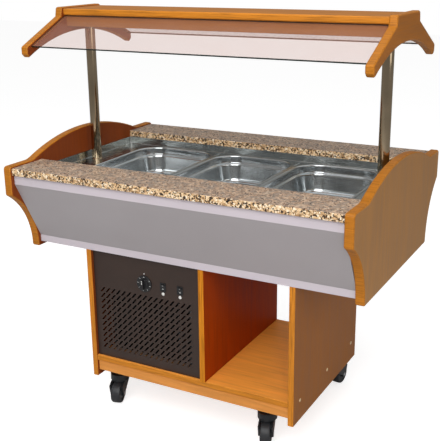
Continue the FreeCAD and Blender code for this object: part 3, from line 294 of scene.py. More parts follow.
def polished_tube(name):
    """Bright chromed tube with faint drawing lines, tinted warm brown: a painted reflection of the wood round it.
    """
    wiring, surface = new_material(name)
    lines = wiring.grain(along("Z", 6.0, 600.0), 2.0)
    haze = wiring.noise(12.0, 2.0)
    # Painted reflection: the warm brown tone stands in for the wood that the chrome reflects.
    tone = wiring.ramp(haze, [(0.3, (0.40, 0.315, 0.21)), (0.7, (0.50, 0.39, 0.26))])
    return surface(Base_Color=tone, Metallic=1.0,
                   Roughness=wiring.spread(haze, 0.3, 0.7, 0.06, 0.10),
                   Normal=wiring.bump(lines, 0.03, 0.0002))


def painted(name, colour, roughness=0.45, grit=0.10, grit_scale=700.0, coat=0.0):
    """Paint or moulded plastic with a fine orange-peel and slight unevenness."""
    wiring, surface = new_material(name)
    wear = wiring.noise(14.0)
    return surface(Base_Color=wiring.tone(wear, colour, (0.30, 0.86), (0.70, 1.12)),
                   Roughness=wiring.about(wear, roughness, 0.06), Specular_IOR_Level=0.4,
                   Normal=wiring.bump(wiring.noise(grit_scale, 2.0), grit, 0.0003),
                   Coat_Weight=coat, Coat_Roughness=0.2)


def zinc_plated(name, colour=(0.50, 0.51, 0.53), roughness=0.36):
    """Zinc-plated steel with its cloudy spangle."""
    wiring, surface = new_material(name)
    value = wiring.cells(90.0)[0]
    return surface(Base_Color=wiring.tone(value, colour, (0.0, 0.86), (1.0, 1.08)), Metallic=0.9,
                   Roughness=wiring.spread(value, 0.0, 1.0, roughness - 0.06, roughness + 0.08))


def plate_glass(name):
    """Clear glass with a faint rose tint on its faces and dark green polished edges."""
    wiring, surface = new_material(name)
    smear = wiring.noise(6.0, 3.0)
    edge = wiring.spread(wiring.facing("Z"), 0.60, 0.75, 1.0, 0.0)
    tint = wiring.ramp(smear, charted((0.3, 172, 122, 104), (0.7, 178, 128, 110)))
    veil = wiring.spread(smear, 0.3, 0.7, 0.19, 0.22)
    return surface(Base_Color=wiring.blend(edge, tint, (0.004, 0.012, 0.008)),
                   Roughness=wiring.spread(edge, 0.0, 1.0, 0.04, 0.35), IOR=1.5,
                   Specular_IOR_Level=0.2, Alpha=wiring.mathing("MAXIMUM", edge, veil))


def opal(name, colour, glow=0.0):
    """Milky plastic or opal glass."""
    wiring, surface = new_material(name)
    cloud = wiring.noise(60.0, 2.0)
    return surface(Base_Color=wiring.tone(cloud, colour, (0.3, 0.95), (0.7, 1.0)),
                   Roughness=wiring.spread(cloud, 0.3, 0.7, 0.20, 0.30),
                   Emission_Color=colour, Emission_Strength=glow)


def raw_ply(name):
    """Unfinished plywood: pale faces and striped edges."""
    wiring, surface = new_material(name)
    figure = wiring.grain((3.0, 40.0, 40.0), 4.0, 0.6, 1.2)
    face = wiring.ramp(figure, charted((0.3, 172, 140, 104), (0.7, 204, 176, 138)))
    height = wiring.add("ShaderNodeSeparateXYZ", {0: wiring.spot()}).outputs[2]
    plies = wiring.mathing("SINE", wiring.mathing("MULTIPLY", height, 2500.0))
    striped = wiring.ramp(wiring.spread(plies, -1.0, 1.0, 0.0, 1.0),
                          charted((0.35, 130, 92, 58), (0.55, 196, 162, 120)))
    edge = wiring.spread(wiring.facing("Z"), 0.6, 0.9, 1.0, 0.0)
    return surface(Base_Color=wiring.blend(edge, face, striped), Roughness=0.75,
                   Normal=wiring.bump(figure, 0.15, 0.0005))


def foam(name):
    """Cream foam with small cells."""
    wiring, surface = new_material(name)
    cells = wiring.add("ShaderNodeTexVoronoi", {"Vector": wiring.spot(), "Scale": 400.0})
    depth = cells.outputs[0]
    tone = wiring.ramp(depth, [(0.0, (0.62, 0.52, 0.30)), (0.6, (0.78, 0.70, 0.46))])
    return surface(Base_Color=tone, Roughness=0.9, Normal=wiring.bump(depth, 0.4, 0.0006))


# ------------------------------------------------------------------ frame helpers

def dress(node, material):
    """Gives a carried-over node its material."""
    piece = frame["nodes"][node]
    if piece.material_slots:
        for place in piece.material_slots:
            place.material = material
    else:
        piece.data.materials.append(material)


def body_of(node):
    """Body that a node rides on."""
    bodies = frame["record"]["behaviour"]["bodies"]
    return next(body for body, members in bodies.items() if node in members)


def joint_of(body):
    """Joint that carries a body."""
    return next(row for row in frame["joints"] if row["child"] == body)


def fix(piece, node):
    """Rides an added piece on a node's body."""
    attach(piece, body_of(node))
    return piece


def seat(piece, node):
    """Fixes a new piece like a node, and lets it stand for that node."""
    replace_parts(fix(piece, node), node)


# ------------------------------------------------------------------ mesh helpers

# Points join within these reaches: loose triangles of a node, and seams of a new shape.
JOIN_REACH, SEAM_REACH = 2e-6, 1e-7
# Angles from which faces count as bent, creased, worth rounding, and creased on a turned shape.
FLAT_ANGLE, SMOOTH_ANGLE, BEVEL_ANGLE, TURNED_ANGLE = (math.radians(a) for a in (0.3, 32, 30, 34))
# Radius at which the end of a turned shape is closed.
TIP = 0.0002


@contextmanager
def editing(mesh, source=None):
    """Points and faces of a mesh, or of a source that is written into it."""
    work = bmesh.new()
    work.from_mesh(mesh if source is None else source)
    yield work
    work.to_mesh(mesh)
    work.free()


def link_mesh(name, mesh, material):
    """Object for a finished mesh."""
    mesh.materials.clear()
    mesh.materials.append(material)
    piece = bpy.data.objects.new(name, mesh)
    bpy.context.scene.collection.objects.link(piece)
    return piece


def joined_copy(node, name, material):
    """Copy of a node with its loose triangles joined and its flat faces merged."""
    mesh = bpy.data.meshes.new(name)
    with editing(mesh, frame["nodes"][node].data) as work:
        bmesh.ops.remove_doubles(work, verts=work.verts, dist=JOIN_REACH)
        bmesh.ops.dissolve_limit(work, angle_limit=FLAT_ANGLE, verts=work.verts,
                                 edges=work.edges, delimit={"NORMAL"})
    return link_mesh(name, mesh, material)


def smoothed(node, name, material):
    """Copy of a node with its curved faces shaded smooth."""
    piece = joined_copy(node, name, material)
    piece.data.shade_smooth()
    piece.data.set_sharp_from_angle(angle=SMOOTH_ANGLE)
    keep_normals(piece)
    seat(piece, node)


def softened(node, name, material, width=0.0006, steps=2):
    """Copy of a node with every sharp edge rounded over."""
    seat(rounded(joined_copy(node, name, material), width, steps), node)


def rounded(piece, width, steps):
    """Rounds every sharp edge of a piece over."""
    piece.data.shade_smooth()
    rounding = piece.modifiers.new("rounding", "BEVEL")
    rounding.width, rounding.segments = width, steps
    rounding.limit_method, rounding.angle_limit = "ANGLE", BEVEL_ANGLE
    keep_normals(piece)
    return piece


def keep_normals(piece):
    """Lets large flat faces keep their own normals beside small rounded ones."""
    weighted = piece.modifiers.new("flat_faces", "WEIGHTED_NORMAL")
    weighted.keep_sharp = True
    weighted.weight = 100
    bake_modifiers(piece)


def bake_modifiers(piece):
    """Turns a piece's modifiers into plain mesh."""
    evaluated = piece.evaluated_get(bpy.context.evaluated_depsgraph_get())
    mesh = bpy.data.meshes.new_from_object(evaluated)
    piece.modifiers.clear()
    piece.data = mesh


def merged(piece):
    """Joins points that lie together, and turns every face outwards."""
    with editing(piece.data) as work:
        bmesh.ops.remove_doubles(work, verts=work.verts, dist=SEAM_REACH)
        bmesh.ops.recalc_face_normals(work, faces=work.faces)


def pierced(piece, cutter):
    """Cuts a closed shape out of a piece."""
    cutting = piece.modifiers.new("hole", "BOOLEAN")
    cutting.operation, cutting.object, cutting.solver = "DIFFERENCE", cutter, "EXACT"
    bake_modifiers(piece)
    bpy.data.objects.remove(cutter)


def from_rings(name, rings, material, capped=True):
    """Skin over rings of points that all have the same count."""
    mesh = bpy.data.meshes.new(name)
    with editing(mesh) as work:
        made = [[work.verts.new(point) for point in ring] for ring in rings]
        count = len(rings[0])
        for low, high in zip(made, made[1:]):
            for index in range(count):
                after = (index + 1) % count
                work.faces.new((low[index], low[after], high[after], high[index]))
        if capped:
            work.faces.new(list(reversed(made[0])))
            work.faces.new(made[-1])
        bmesh.ops.recalc_face_normals(work, faces=work.faces)
    mesh.shade_smooth()
    return link_mesh(name, mesh, material)


def round_ring(half_x, half_y, radius, z, centre=(0.0, 0.0), steps=9):
    """Points round a rectangle with round corners."""
    points = []
    for quarter, (sx, sy) in enumerate(((1, 1), (-1, 1), (-1, -1), (1, -1))):
        for step in range(steps + 1):
            angle = math.radians(90 * quarter + 90 * step / steps)
            points.append((centre[0] + sx * (half_x - radius) + radius * math.cos(angle),
                           centre[1] + sy * (half_y - radius) + radius * math.sin(angle), z))
    return points


def lathe(name, profile, material, centre=(0, 0, 0), axis=(0, 0, 1), steps=64, closed=False):
    """Turns (radius, along) pairs about an axis. A closed profile makes a ring, an open one
    is capped at both ends."""
    axis = Vector(axis).normalized()
    side = axis.orthogonal().normalized()
    across = axis.cross(side)
    centre = Vector(centre)
    rings = []
    for radius, reach in profile + (profile[:1] if closed else []):
        rings.append([centre + axis * reach
                      + (side * math.cos(turn) + across * math.sin(turn)) * radius
                      for turn in (math.tau * k / steps for k in range(steps))])
    piece = from_rings(name, rings, material, not closed)
    if closed:
        merged(piece)
    piece.data.set_sharp_from_angle(angle=TURNED_ANGLE)
    return piece


def mirrored(half):
    """Closed profile from its first half, which is the same on both sides of the middle."""
    return half + [(radius, -reach) for radius, reach in reversed(half)]


def boxed(name, low, high, material, width=0.0008, steps=2):
    """Block between two corners with its edges rounded over."""
    mesh = bpy.data.meshes.new(name)
    low, high = Vector(low), Vector(high)
    with editing(mesh) as work:
        for vertex in bmesh.ops.create_cube(work, size=1.0)["verts"]:
            vertex.co = (low + high) / 2 + vertex.co * (high - low)
    return rounded(link_mesh(name, mesh, material), width, steps)


# ------------------------------------------------------------------ repeated pieces

ITEM_SOCKETS = (("Geometry", "Geometry"), ("Item", "Object"), ("Finish", "Material"))
ROW_SOCKETS = (("Count", "Int"), ("Start", "Vector"), ("Step", "Vector"))


def repeat_group(name, with_row):
    """Geometry nodes that set an item on every point, or along a row of Count at one Step."""
    tree = bpy.data.node_groups.new(name, "GeometryNodeTree")
    for label, kind in ITEM_SOCKETS + (ROW_SOCKETS if with_row else ()):
        tree.interface.new_socket(label, in_out="INPUT", socket_type=f"NodeSocket{kind}")
    tree.interface.new_socket("Geometry", in_out="OUTPUT", socket_type="NodeSocketGeometry")
    wiring = Wiring(tree)
    given = wiring.add("NodeGroupInput").outputs
    points = given["Geometry"]
    if with_row:
        row = wiring.add("GeometryNodeMeshLine", {"Count": given["Count"],
                                                  "Start Location": given["Start"],
                                                  "Offset": given["Step"]}, mode="OFFSET")
        points = row.outputs[0]
    item = wiring.add("GeometryNodeObjectInfo", {"Object": given["Item"]})
    placed = wiring.add("GeometryNodeInstanceOnPoints",
                        {"Points": points, "Instance": item.outputs["Geometry"]})
    real = wiring.add("GeometryNodeRealizeInstances", {0: placed.outputs[0]})
    dressed = wiring.add("GeometryNodeSetMaterial", {"Geometry": real.outputs[0],
                                                     "Material": given["Finish"]})
    wiring.add("NodeGroupOutput", {0: dressed.outputs[0]})
    return tree


def repeated(name, item, material, points=None, row=None):
    """Bakes an item onto points, or along a row given as (count, start, step)."""
    mesh = bpy.data.meshes.new(name)
    mesh.from_pydata(points or [], [], [])
    piece = bpy.data.objects.new(name, mesh)
    bpy.context.scene.collection.objects.link(piece)
    values = {"Item": item, "Finish": material}
    if row is not None:
        values.update(zip(("Count", "Start", "Step"), row))
    modifier = piece.modifiers.new("layout", "NODES")
    modifier.node_group = repeat_group(f"{name}_layout", row is not None)
    for socket in modifier.node_group.interface.items_tree:
        if socket.in_out == "INPUT" and socket.name in values:
            modifier[socket.identifier] = values[socket.name]
    bake_modifiers(piece)
    bpy.data.objects.remove(item)
    return piece


def screw_head(name, material):
    """Domed screw head that faces -Y, with a cross recess, at the origin."""
    radius = 0.0045
    head = lathe(name, [(TIP, -0.0022), (radius * 0.55, -0.0019), (radius * 0.9, -0.0009),
                        (radius, 0.0), (radius * 0.9, 0.0003), (TIP, 0.0003)],
                 material, axis=(0, 1, 0), steps=20)
    arm, slot, deep = radius * 0.55, radius * 0.13, -0.00235
    with editing(head.data) as work:
        for wide, tall in ((arm, slot), (slot, arm)):
            work.faces.new([work.verts.new((x, deep, z)) for x, z in
                            ((-wide, -tall), (wide, -tall), (wide, tall), (-wide, tall))])
    return head


# ------------------------------------------------------------------ settings

def tint(name, description, default):
    """Colour setting."""
    return FloatVectorProperty(name=name, description=description, subtype="COLOR",
                               default=default)


def length(name, description, default):
    """Length setting, in metres."""
    return FloatProperty(name=name, description=description, unit="LENGTH", default=default)


def power(name, description, default):
    """Setting for a light's power, in watts."""
    return FloatProperty(name=name, description=description, subtype="POWER", default=default)


def quantity(name, description, default):
    """Count of repeated pieces."""
    return IntProperty(name=name, description=description, default=default, min=2)


class WoodSettings(bpy.types.PropertyGroup):
    """Colours of the wooden boards. Some are copies of one veneer, darkened or brightened for the light on their
    faces: painted shade and painted light.
    """
    # Painted light and shade: the inner and outer faces are one veneer; the inner colour is its darker, shaded
    # copy and the outer its paler, lit copy.
    inner: tint("Inner faces", "Veneer on the inner faces", (0.230, 0.044, 0.005))
    outer: tint("Outer faces", "Veneer outside the end panels", (0.380, 0.180, 0.050))
    side: tint("Cabinet sides", "Veneer outside the cabinet", (0.300, 0.100, 0.010))
    wing: tint("Brackets", "Veneer of the canopy brackets", (0.385, 0.132, 0.013))
    # Painted light: the partition's veneer is brightened for light that does not reach inside the cabinet.
    partition: tint("Partition", "Veneer of the partition", (0.380, 0.048, 0.002))
    band: tint("Edge band", "Solid band round the cabinet", (0.550, 0.195, 0.015))
    lip: tint("Lipping", "Solid wood round the end panels", (0.430, 0.150, 0.010))
    board: tint("Canopy board", "Veneer of the canopy board", (0.420, 0.150, 0.012))
    # Painted light: the cabinet floor's veneer is brightened for light that does not reach inside the cabinet.
    shelf: tint("Cabinet floor", "Veneer of the cabinet floor", (0.880, 0.330, 0.050))
    plinth: tint("Plinth", "Veneer of the plinth rails", (0.700, 0.280, 0.060))
    bullnose: length("Bullnose", "Radius round end panels and brackets", 0.0060)
    groove: length("Groove", "Radius where the plinth meets the floor", 0.0032)
    edge: length("Edge round", "Radius along every other wooden edge", 0.0015)


class FrontSettings(bpy.types.PropertyGroup):
    """Colours of the grey front and the grille."""
    panel: tint("Slanted panel", "Grey laminate", (0.345, 0.320, 0.330))
    trim: tint("Trim", "Trim above and below the panel", (0.520, 0.470, 0.510))
    grille: tint("Grille", "Paint of the grilles", (0.031, 0.017, 0.012))


class WellSettings(bpy.types.PropertyGroup):
    """Sizes of the steel well."""
    sheet: length("Sheet", "Thickness of the steel", 0.0015)
    foam: length("Foam", "Thickness of the foam round the tub", 0.030)
    fold: length("Fold", "Radius of a folded corner", 0.003)


class PanSettings(bpy.types.PropertyGroup):
    """Sizes of the food pans."""
    neck: length("Neck", "Depth of the stacking shoulder under the rim", 0.028)
    floor_round: length("Floor round", "Radius round a pan's floor", 0.020)
    rim_round: length("Rim round", "Radius where the rim turns down", 0.005)
    corner: length("Corner", "Reach of the corner's centre from the rim", 0.094)


class DialSettings(bpy.types.PropertyGroup):
    """Numbers on the thermostat's knob."""
    count: quantity("Numbers", "Numbers round the knob", 8)
    ring: length("Ring", "Radius of the ring of numbers", 0.0235)
    height: length("Height", "Height of a number", 0.0068)


class CoilSettings(bpy.types.PropertyGroup):
    """Fins and tubes of the condenser."""
    fins: quantity("Fins", "Fins between the end plates", 96)
    tubes: quantity("Tubes", "Tubes in one row", 9)


class StageSettings(bpy.types.PropertyGroup):
    """Light and floor."""
    key: power("Key light", "Power of the large front light", 150.0)
    fill: power("Fill light", "Power of the side light", 24.0)
    overhead: power("Overhead light", "Power of the top light", 26.0)
    floor: tint("Floor", "Colour of the floor", (0.60, 0.60, 0.60))
    glow: FloatProperty(name="Floor glow", description="Light from behind the floor's paper",
                        default=0.70)


class SaladBarSettings(bpy.types.PropertyGroup):
    """All settings of the salad bar."""
    wood: PointerProperty(type=WoodSettings)
    front: PointerProperty(type=FrontSettings)
    well: PointerProperty(type=WellSettings)
    pans: PointerProperty(type=PanSettings)
    dial: PointerProperty(type=DialSettings)
    coil: PointerProperty(type=CoilSettings)
    stage: PointerProperty(type=StageSettings)


def settings():
    """Settings of the open scene."""
    return bpy.context.scene.salad_bar


# ------------------------------------------------------------------ operators

class SALADBAR_OT_stage(bpy.types.Operator):
    """Floor, lights and camera"""
    bl_idname = "saladbar.stage"
    bl_label = "Stage"

    def execute(self, context):
        chosen = settings().stage
        self.add_floor(chosen)
        self.add_lights(context.scene, chosen)
        self.add_surround(context.scene)
        self.add_camera(context.scene)
        return {"FINISHED"}

    def add_floor(self, chosen):
        """Plain pale floor."""
        mesh = bpy.data.meshes.new("floor")
        reach = 14.0
        corners = [(x * reach, y * reach, 0) for x, y in ((-1, -1), (1, -1), (1, 1), (-1, 1))]
        mesh.from_pydata(corners, [], [(0, 1, 2, 3)])
        floor = link_mesh("floor", mesh, studio_floor("floor_paper", chosen.floor, chosen.glow))

    def add_lights(self, scene, chosen):
        """Three soft boxes."""
        lamps = (("key", chosen.key, 3.0, (0.9, -3.5, 3.2), (1.0, 0.99, 0.98)),
                 ("fill", chosen.fill, 2.4, (3.8, -1.4, 1.9), (1.0, 0.97, 0.93)),
                 ("overhead", chosen.overhead, 2.2, (0.0, -0.9, 3.8), (1.0, 1.0, 1.0)))
        target = Vector((0.0, 0.0, 0.75))
        for name, watts, size, place, colour in lamps:
            light = bpy.data.lights.new(name, "AREA")
            light.energy, light.size, light.color = watts, size, colour
            lamp = bpy.data.objects.new(name, light)
            lamp.location = place
            lamp.rotation_mode = "QUATERNION"
            lamp.rotation_quaternion = (target - Vector(place)).to_track_quat("-Z", "Y")
            scene.collection.objects.link(lamp)

    def add_surround(self, scene):
        """White backdrop, even soft light, and a banded room for the metal to reflect."""
        world = bpy.data.worlds.new("surround")
        world.use_nodes = True
        world.node_tree.nodes.clear()
        wiring = Wiring(world.node_tree)
        ray = wiring.add("ShaderNodeLightPath").outputs
        backdrop, even = (wiring.add("ShaderNodeBackground", {"Color": (1, 1, 1),
                                                              "Strength": strength})
                          for strength in (1.0, 0.44))
        height = wiring.add("ShaderNodeSeparateXYZ",
                            {0: wiring.add("ShaderNodeTexCoord").outputs["Generated"]})
        room = wiring.ramp(wiring.spread(height.outputs[2], -0.2, 1.0, 0.0, 1.0),
                           [(0.0, (0.10, 0.08, 0.07)), (0.26, (0.14, 0.12, 0.11)),
                            (0.34, (0.30, 0.30, 0.29)), (0.58, (0.36, 0.37, 0.36)),
                            (0.70, (0.84, 0.86, 0.86)), (1.0, (0.78, 0.80, 0.80))])
        reflected = wiring.add("ShaderNodeBackground", {"Color": room, "Strength": 1.0})
        lit = wiring.add("ShaderNodeMixShader", {0: ray["Is Glossy Ray"], 1: even.outputs[0],
                                                 2: reflected.outputs[0]})
        mixed = wiring.add("ShaderNodeMixShader", {0: ray["Is Camera Ray"], 1: lit.outputs[0],
                                                   2: backdrop.outputs[0]})
        wiring.add("ShaderNodeOutputWorld", {0: mixed.outputs[0]})
        scene.world = world
        scene.view_settings.view_transform = "Standard"

    def add_camera(self, scene):
        """Camera at the photograph's angle, found from the pans' standard size."""
        azimuth, elevation, roll = (math.radians(a) for a in (28.6, 17.6, -0.7))
        focal_pixels, long_side, sensor = 844.9, 441.0, 36.0
        distance, across, below, aim_height = 2.909, -0.0268, -0.0836, 0.750
        back = Vector((math.sin(azimuth) * math.cos(elevation),
                       -math.cos(azimuth) * math.cos(elevation), math.sin(elevation)))
        right = Vector((math.cos(azimuth), math.sin(azimuth), 0.0))
        up = back.cross(right)
        leaned_right = right * math.cos(roll) + up * math.sin(roll)
        leaned_up = up * math.cos(roll) - right * math.sin(roll)
        data = bpy.data.cameras.new("camera")
        data.sensor_width = sensor
        data.lens = focal_pixels / long_side * sensor
        data.clip_start, data.clip_end = 0.05, 60.0
        camera = bpy.data.objects.new("camera", data)
        turn = Matrix((leaned_right, leaned_up, back)).transposed().to_4x4()
        place = back * distance + right * across + up * below + Vector((0, 0, aim_height))
        camera.matrix_world = Matrix.Translation(place) @ turn
        scene.collection.objects.link(camera)
        scene.camera = camera


class SALADBAR_OT_wood(bpy.types.Operator):
    """End panels, canopy brackets and boards, and the cabinet's panels"""
    bl_idname = "saladbar.wood"
    bl_label = "Wooden panels"

    def execute(self, context):
        chosen = settings().wood
        band, lip, full, thin = chosen.band, chosen.lip, chosen.bullnose, chosen.edge
        # Painted shade: the lamp rails are the canopy board's veneer darkened for the shade under the board.
        rail_in_painted_shade = shade(chosen.board, 0.78)
        # The inner veneer carries painted shade; the partition and cabinet-floor veneers carry painted light.
        boards = (
            ("left_end_panel", "X", "Z", "X", chosen.inner, lip, full),
            ("right_end_panel", "X", "Z", "X", chosen.outer, lip, full),
            ("left_bracket", "X", "Y", "X", chosen.inner, lip, full),
            ("right_bracket", "X", "Y", "X", chosen.wing, lip, full),
            ("canopy_board", "Z", "X", "X", chosen.board, band, thin),
            ("lamp_rails", "Y", "X", "X", rail_in_painted_shade, rail_in_painted_shade, thin),
            ("base_left_panel", "X", "Z", "Z", chosen.inner, band, thin),
            ("base_right_panel", "X", "Z", "Z", chosen.side, band, thin),
            ("base_partition", "X", "Z", "Z", chosen.partition, band, thin),
            ("cabinet_floor", "Z", "X", "X", chosen.shelf, band, chosen.groove),
            ("plinths", "Y", "X", "X", chosen.plinth, chosen.plinth, chosen.groove))
        for node, face, grain, band_grain, veneer, lipping, radius in boards:
            wood = lacquered_wood(f"{node}_veneer", face, grain, band_grain, veneer, lipping,
                                  DULL if node == "base_partition" else SATIN)
            softened(node, f"{node}_wood", wood, radius, 4)
        ply = raw_ply("plywood")
        for node in ("counter_boards", "carcass_floor"):
            dress(node, ply)
        return {"FINISHED"}


class SALADBAR_OT_stone(bpy.types.Operator):
    """Front and rear counter slabs"""
    bl_idname = "saladbar.stone"
    bl_label = "Stone counter"

    def execute(self, context):
        stone = granite("granite")
        for node in ("front_stone", "rear_stone"):
            softened(node, f"{node}_slab", stone, 0.0012)
        return {"FINISHED"}


class SALADBAR_OT_front(bpy.types.Operator):
    """Grey slanted panels and their trims"""
    bl_idname = "saladbar.front"
    bl_label = "Grey front"

    def execute(self, context):
        chosen = settings().front
        softened("fascias", "fascia_panels", laminate("grey_laminate", chosen.panel, 0.46))
        trim = laminate("trim_lacquer", chosen.trim, 0.40)
        softened("top_trims", "top_trim_boards", trim)
        softened("foot_trims", "foot_trim_boards", trim)
        return {"FINISHED"}


class SALADBAR_OT_well(bpy.types.Operator):
    """Steel well, its foam and casing, and the bars under the pans"""
    bl_idname = "saladbar.well"
    bl_label = "Steel well"

    drain_bore, post_hole = 0.010, 0.0178

    def execute(self, context):
        steel = brushed_steel("well_steel", "X")
        self.add_liner(steel)
        self.add_flanges(steel)
        self.add_drain(steel)
        softened("pan_bars", "pan_bar_channels", steel, 0.0008)
        dress("well_insulation", foam("cream_foam"))
        dress("well_casing", zinc_plated("casing_zinc"))
        return {"FINISHED"}

    def add_liner(self, steel):
        """Folded sheet: drain hole, tub floor, tub walls, ledge and upstands, and back."""
        chosen = settings().well
        sheet, fold, bore = chosen.sheet, chosen.fold, self.drain_bore
        low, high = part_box("well_insulation")
        tub_x, tub_y = high.x - chosen.foam, high.y - chosen.foam
        under, ledge, rim = low.z + chosen.foam, high.z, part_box("well_liner")[1].z
        end_x, tray_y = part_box("well_liner")[1].x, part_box("rear_stone")[0].y + 2 * sheet
        outer = [(bore, bore, under), (tub_x, tub_y, under), (tub_x, tub_y, ledge),
                 (end_x, tray_y, ledge), (end_x, tray_y, rim)]
        inner = [(bore, bore, under + sheet)]
        inner += [(x - sheet, y - sheet, z + sheet) for x, y, z in outer[1:-1]]
        inner.append((end_x - sheet, tray_y - sheet, rim))
        path = self.folded(inner, (fold, fold, fold)) + self.folded(
            outer, (fold + sheet, fold - sheet, fold + sheet))[::-1]
        rings = [round_ring(x, y, min(x, y) if x == bore else 2 * fold, z) for x, y, z in path]
        liner = from_rings("well_liner_sheet", rings + rings[:1], steel, capped=False)
        merged(liner)
        past_sheet = 0.01
        punch = [(self.post_hole, ledge - past_sheet), (self.post_hole, ledge + past_sheet)]
        for side in ("left", "right"):
            low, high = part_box(f"{side}_post")
            pierced(liner, lathe("post_hole", punch, steel, ((low.x + high.x) / 2, 0, 0),
                                 steps=48))
        keep_normals(liner)
        seat(liner, "well_liner")

    def folded(self, corners, folds, steps=4):
        """Section with each inner corner turned on its radius."""
        path = [corners[0]]
        for before, corner, after, fold in zip(corners, corners[1:], corners[2:], folds):
            start, stop = (self.towards(corner, end, fold) for end in (before, after))
            for step in range(steps + 1):
                t = step / steps
                path.append(tuple(a * (1 - t) ** 2 + 2 * c * t * (1 - t) + b * t * t
                                  for a, c, b in zip(start, corner, stop)))
        path.append(corners[-1])
        return path

    def towards(self, corner, end, reach):
        """Corner moved towards an end, by a reach along each axis that differs."""
        return [c + math.copysign(min(reach, abs(e - c) / 2), e - c)
                for c, e in zip(corner, end)]

    def add_flanges(self, steel):
        """Flanges that lie under the front and rear stone."""
        sheet = settings().well.sheet
        low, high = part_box("well_liner")
        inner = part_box("rear_stone")[0].y + 2 * sheet
        for name, near, far in (("rear", inner, high.y), ("front", low.y, -inner)):
            seat(boxed(f"{name}_flange", (low.x, near, high.z - sheet), (high.x, far, high.z),
                       steel, 0.0004), "well_liner")

    def add_drain(self, steel):
        """Collared drain spigot under the tub."""
        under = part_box("well_insulation")[0].z + settings().well.foam
        collar_foot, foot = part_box("carcass_floor")[0].z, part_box("well_liner")[0].z
        bore, spigot, collar = self.drain_bore, 0.012, 0.014
        profile = [(bore, under), (collar, under), (collar, collar_foot), (spigot, collar_foot),
                   (spigot, foot), (bore, foot)]
        seat(lathe("well_drain", profile, steel, steps=40, closed=True), "well_liner")


class SALADBAR_OT_pans(bpy.types.Operator):
    """Three drawn steel food pans"""
    bl_idname = "saladbar.pans"
    bl_label = "Food pans"

    # Steps of the shoulder from its waist up to its neck, as (inset, height) beside the shoulder.
    lower_bend = ((0.0004, -0.0035), (-0.0006, -0.0014), (-0.0024, -0.0002))
    upper_bend = ((0.0026, 0.0002), (0.0008, 0.0012), (0.0, 0.0034))

    def execute(self, context):
        steel = drawn_steel("pan_steel")
        for node in ("left_pan", "middle_pan", "right_pan"):
            low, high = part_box(node)
            seat(from_rings(f"{node}_drawn", self.rings(low, high), steel), node)
        return {"FINISHED"}

    def rings(self, low, high):
        """Rings from the middle of the inner floor, over the rim, to the outer floor."""
        chosen = settings().pans
        centre = ((low.x + high.x) / 2, (low.y + high.y) / 2)
        half_x, half_y = (high.x - low.x) / 2, (high.y - low.y) / 2
        sheet, rim = 0.001, 0.0012
        top, floor = high.z, low.z
        neck, waist, foot = 0.012, 0.018, 0.027
        shoulder = top - rim - chosen.neck
        inside = self.wall(neck, waist, foot, shoulder, floor + sheet, top, chosen, 0.0)
        outside = self.wall(neck - sheet, waist - sheet, foot - sheet, shoulder - sheet, floor,
                            top - rim, chosen, sheet)
        edge = [(0.0006, top, 0.0126), (0.0001, top - 0.0004, 0.013), (0.0, top - rim, 0.013)]
        chain = inside + edge + list(reversed(outside))
        return [round_ring(half_x - inset, half_y - inset, radius, z, centre)
                for inset, z, radius in chain]

    def wall(self, neck, waist, foot, shoulder, floor, top, chosen, extra):
        """Section from the floor's middle to the rim's outer part: (inset, height, radius)."""
        turn = chosen.floor_round + extra
        rim_turn = max(chosen.rim_round - extra, 0.002)
        slope = math.atan2(foot - waist, shoulder - floor)
        line = [(0.150, floor), (0.080, floor), (foot + turn + 0.006, floor)]
        for step in range(9):
            angle = (math.pi / 2 - slope) * step / 8
            line.append((foot + turn - turn * math.sin(angle),
                         floor + turn - turn * math.cos(angle)))
        line.append((waist + (foot - waist) * 0.12, shoulder - 0.0092))
        for start, bend in ((waist, self.lower_bend), (neck, self.upper_bend)):
            line += [(start + inset, shoulder + height) for inset, height in bend]
        line.append((neck, top - rim_turn - 0.003))
        for step in range(5):
            angle = math.pi / 2 * step / 4
            line.append((neck - rim_turn * (1 - math.cos(angle)),
                         top - rim_turn * (1 - math.sin(angle))))
        line.append((neck - rim_turn - 0.0012, top))
        section = [(inset, z, max(chosen.corner - inset, 0.004)) for inset, z in line]
        section.append((0.0020, top, 0.0150))
        return section


class SALADBAR_OT_canopy(bpy.types.Operator):
    """Posts with their weld beads, glass panes and lamp"""
    bl_idname = "saladbar.canopy"
    bl_label = "Posts, glass and lamp"

    def execute(self, context):
        tube = polished_tube("post_chrome")
        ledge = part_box("pan_bars")[1].z
        bead = [(0.0176, 0.0), (0.0205, 0.0), (0.0204, 0.0008), (0.0194, 0.0018),
                (0.0184, 0.0026), (0.0176, 0.0030)]
        for side in ("left", "right"):
            smoothed(f"{side}_post", f"{side}_post_tube", tube)
            low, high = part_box(f"{side}_post")
            middle = (low.x + high.x) / 2
            fix(lathe(f"{side}_post_weld", bead, tube, (middle, 0, ledge), closed=True),
                f"{side}_post")
        dress("glass_panes", plate_glass("rose_glass"))
        dress("lamp_batten", painted("batten_enamel", (0.80, 0.80, 0.78), 0.35))
        dress("lamp_holders", opal("holder_plastic", (0.82, 0.82, 0.80)))
        smoothed("lamp_tube", "lamp_tube_glass", opal("tube_glass", (0.93, 0.93, 0.90)))
        self.add_lamp_caps()
        return {"FINISHED"}

    def add_lamp_caps(self):
        """Metal caps on the ends of the lamp tube."""
        metal = zinc_plated("cap_aluminium", (0.62, 0.62, 0.63), 0.3)
        low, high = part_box("lamp_tube")
        middle = (low + high) / 2
        profile = [(0.0078, 0.0), (0.0081, 0.0), (0.0084, 0.0006), (0.0084, 0.0110),
                   (0.0081, 0.0116), (0.0078, 0.0116)]
        for name, end, way in (("left", low.x, 1), ("right", high.x, -1)):
            fix(lathe(f"{name}_lamp_cap", profile, metal, (end, middle.y, middle.z),
                      (way, 0, 0), 40, closed=True), "lamp_tube")


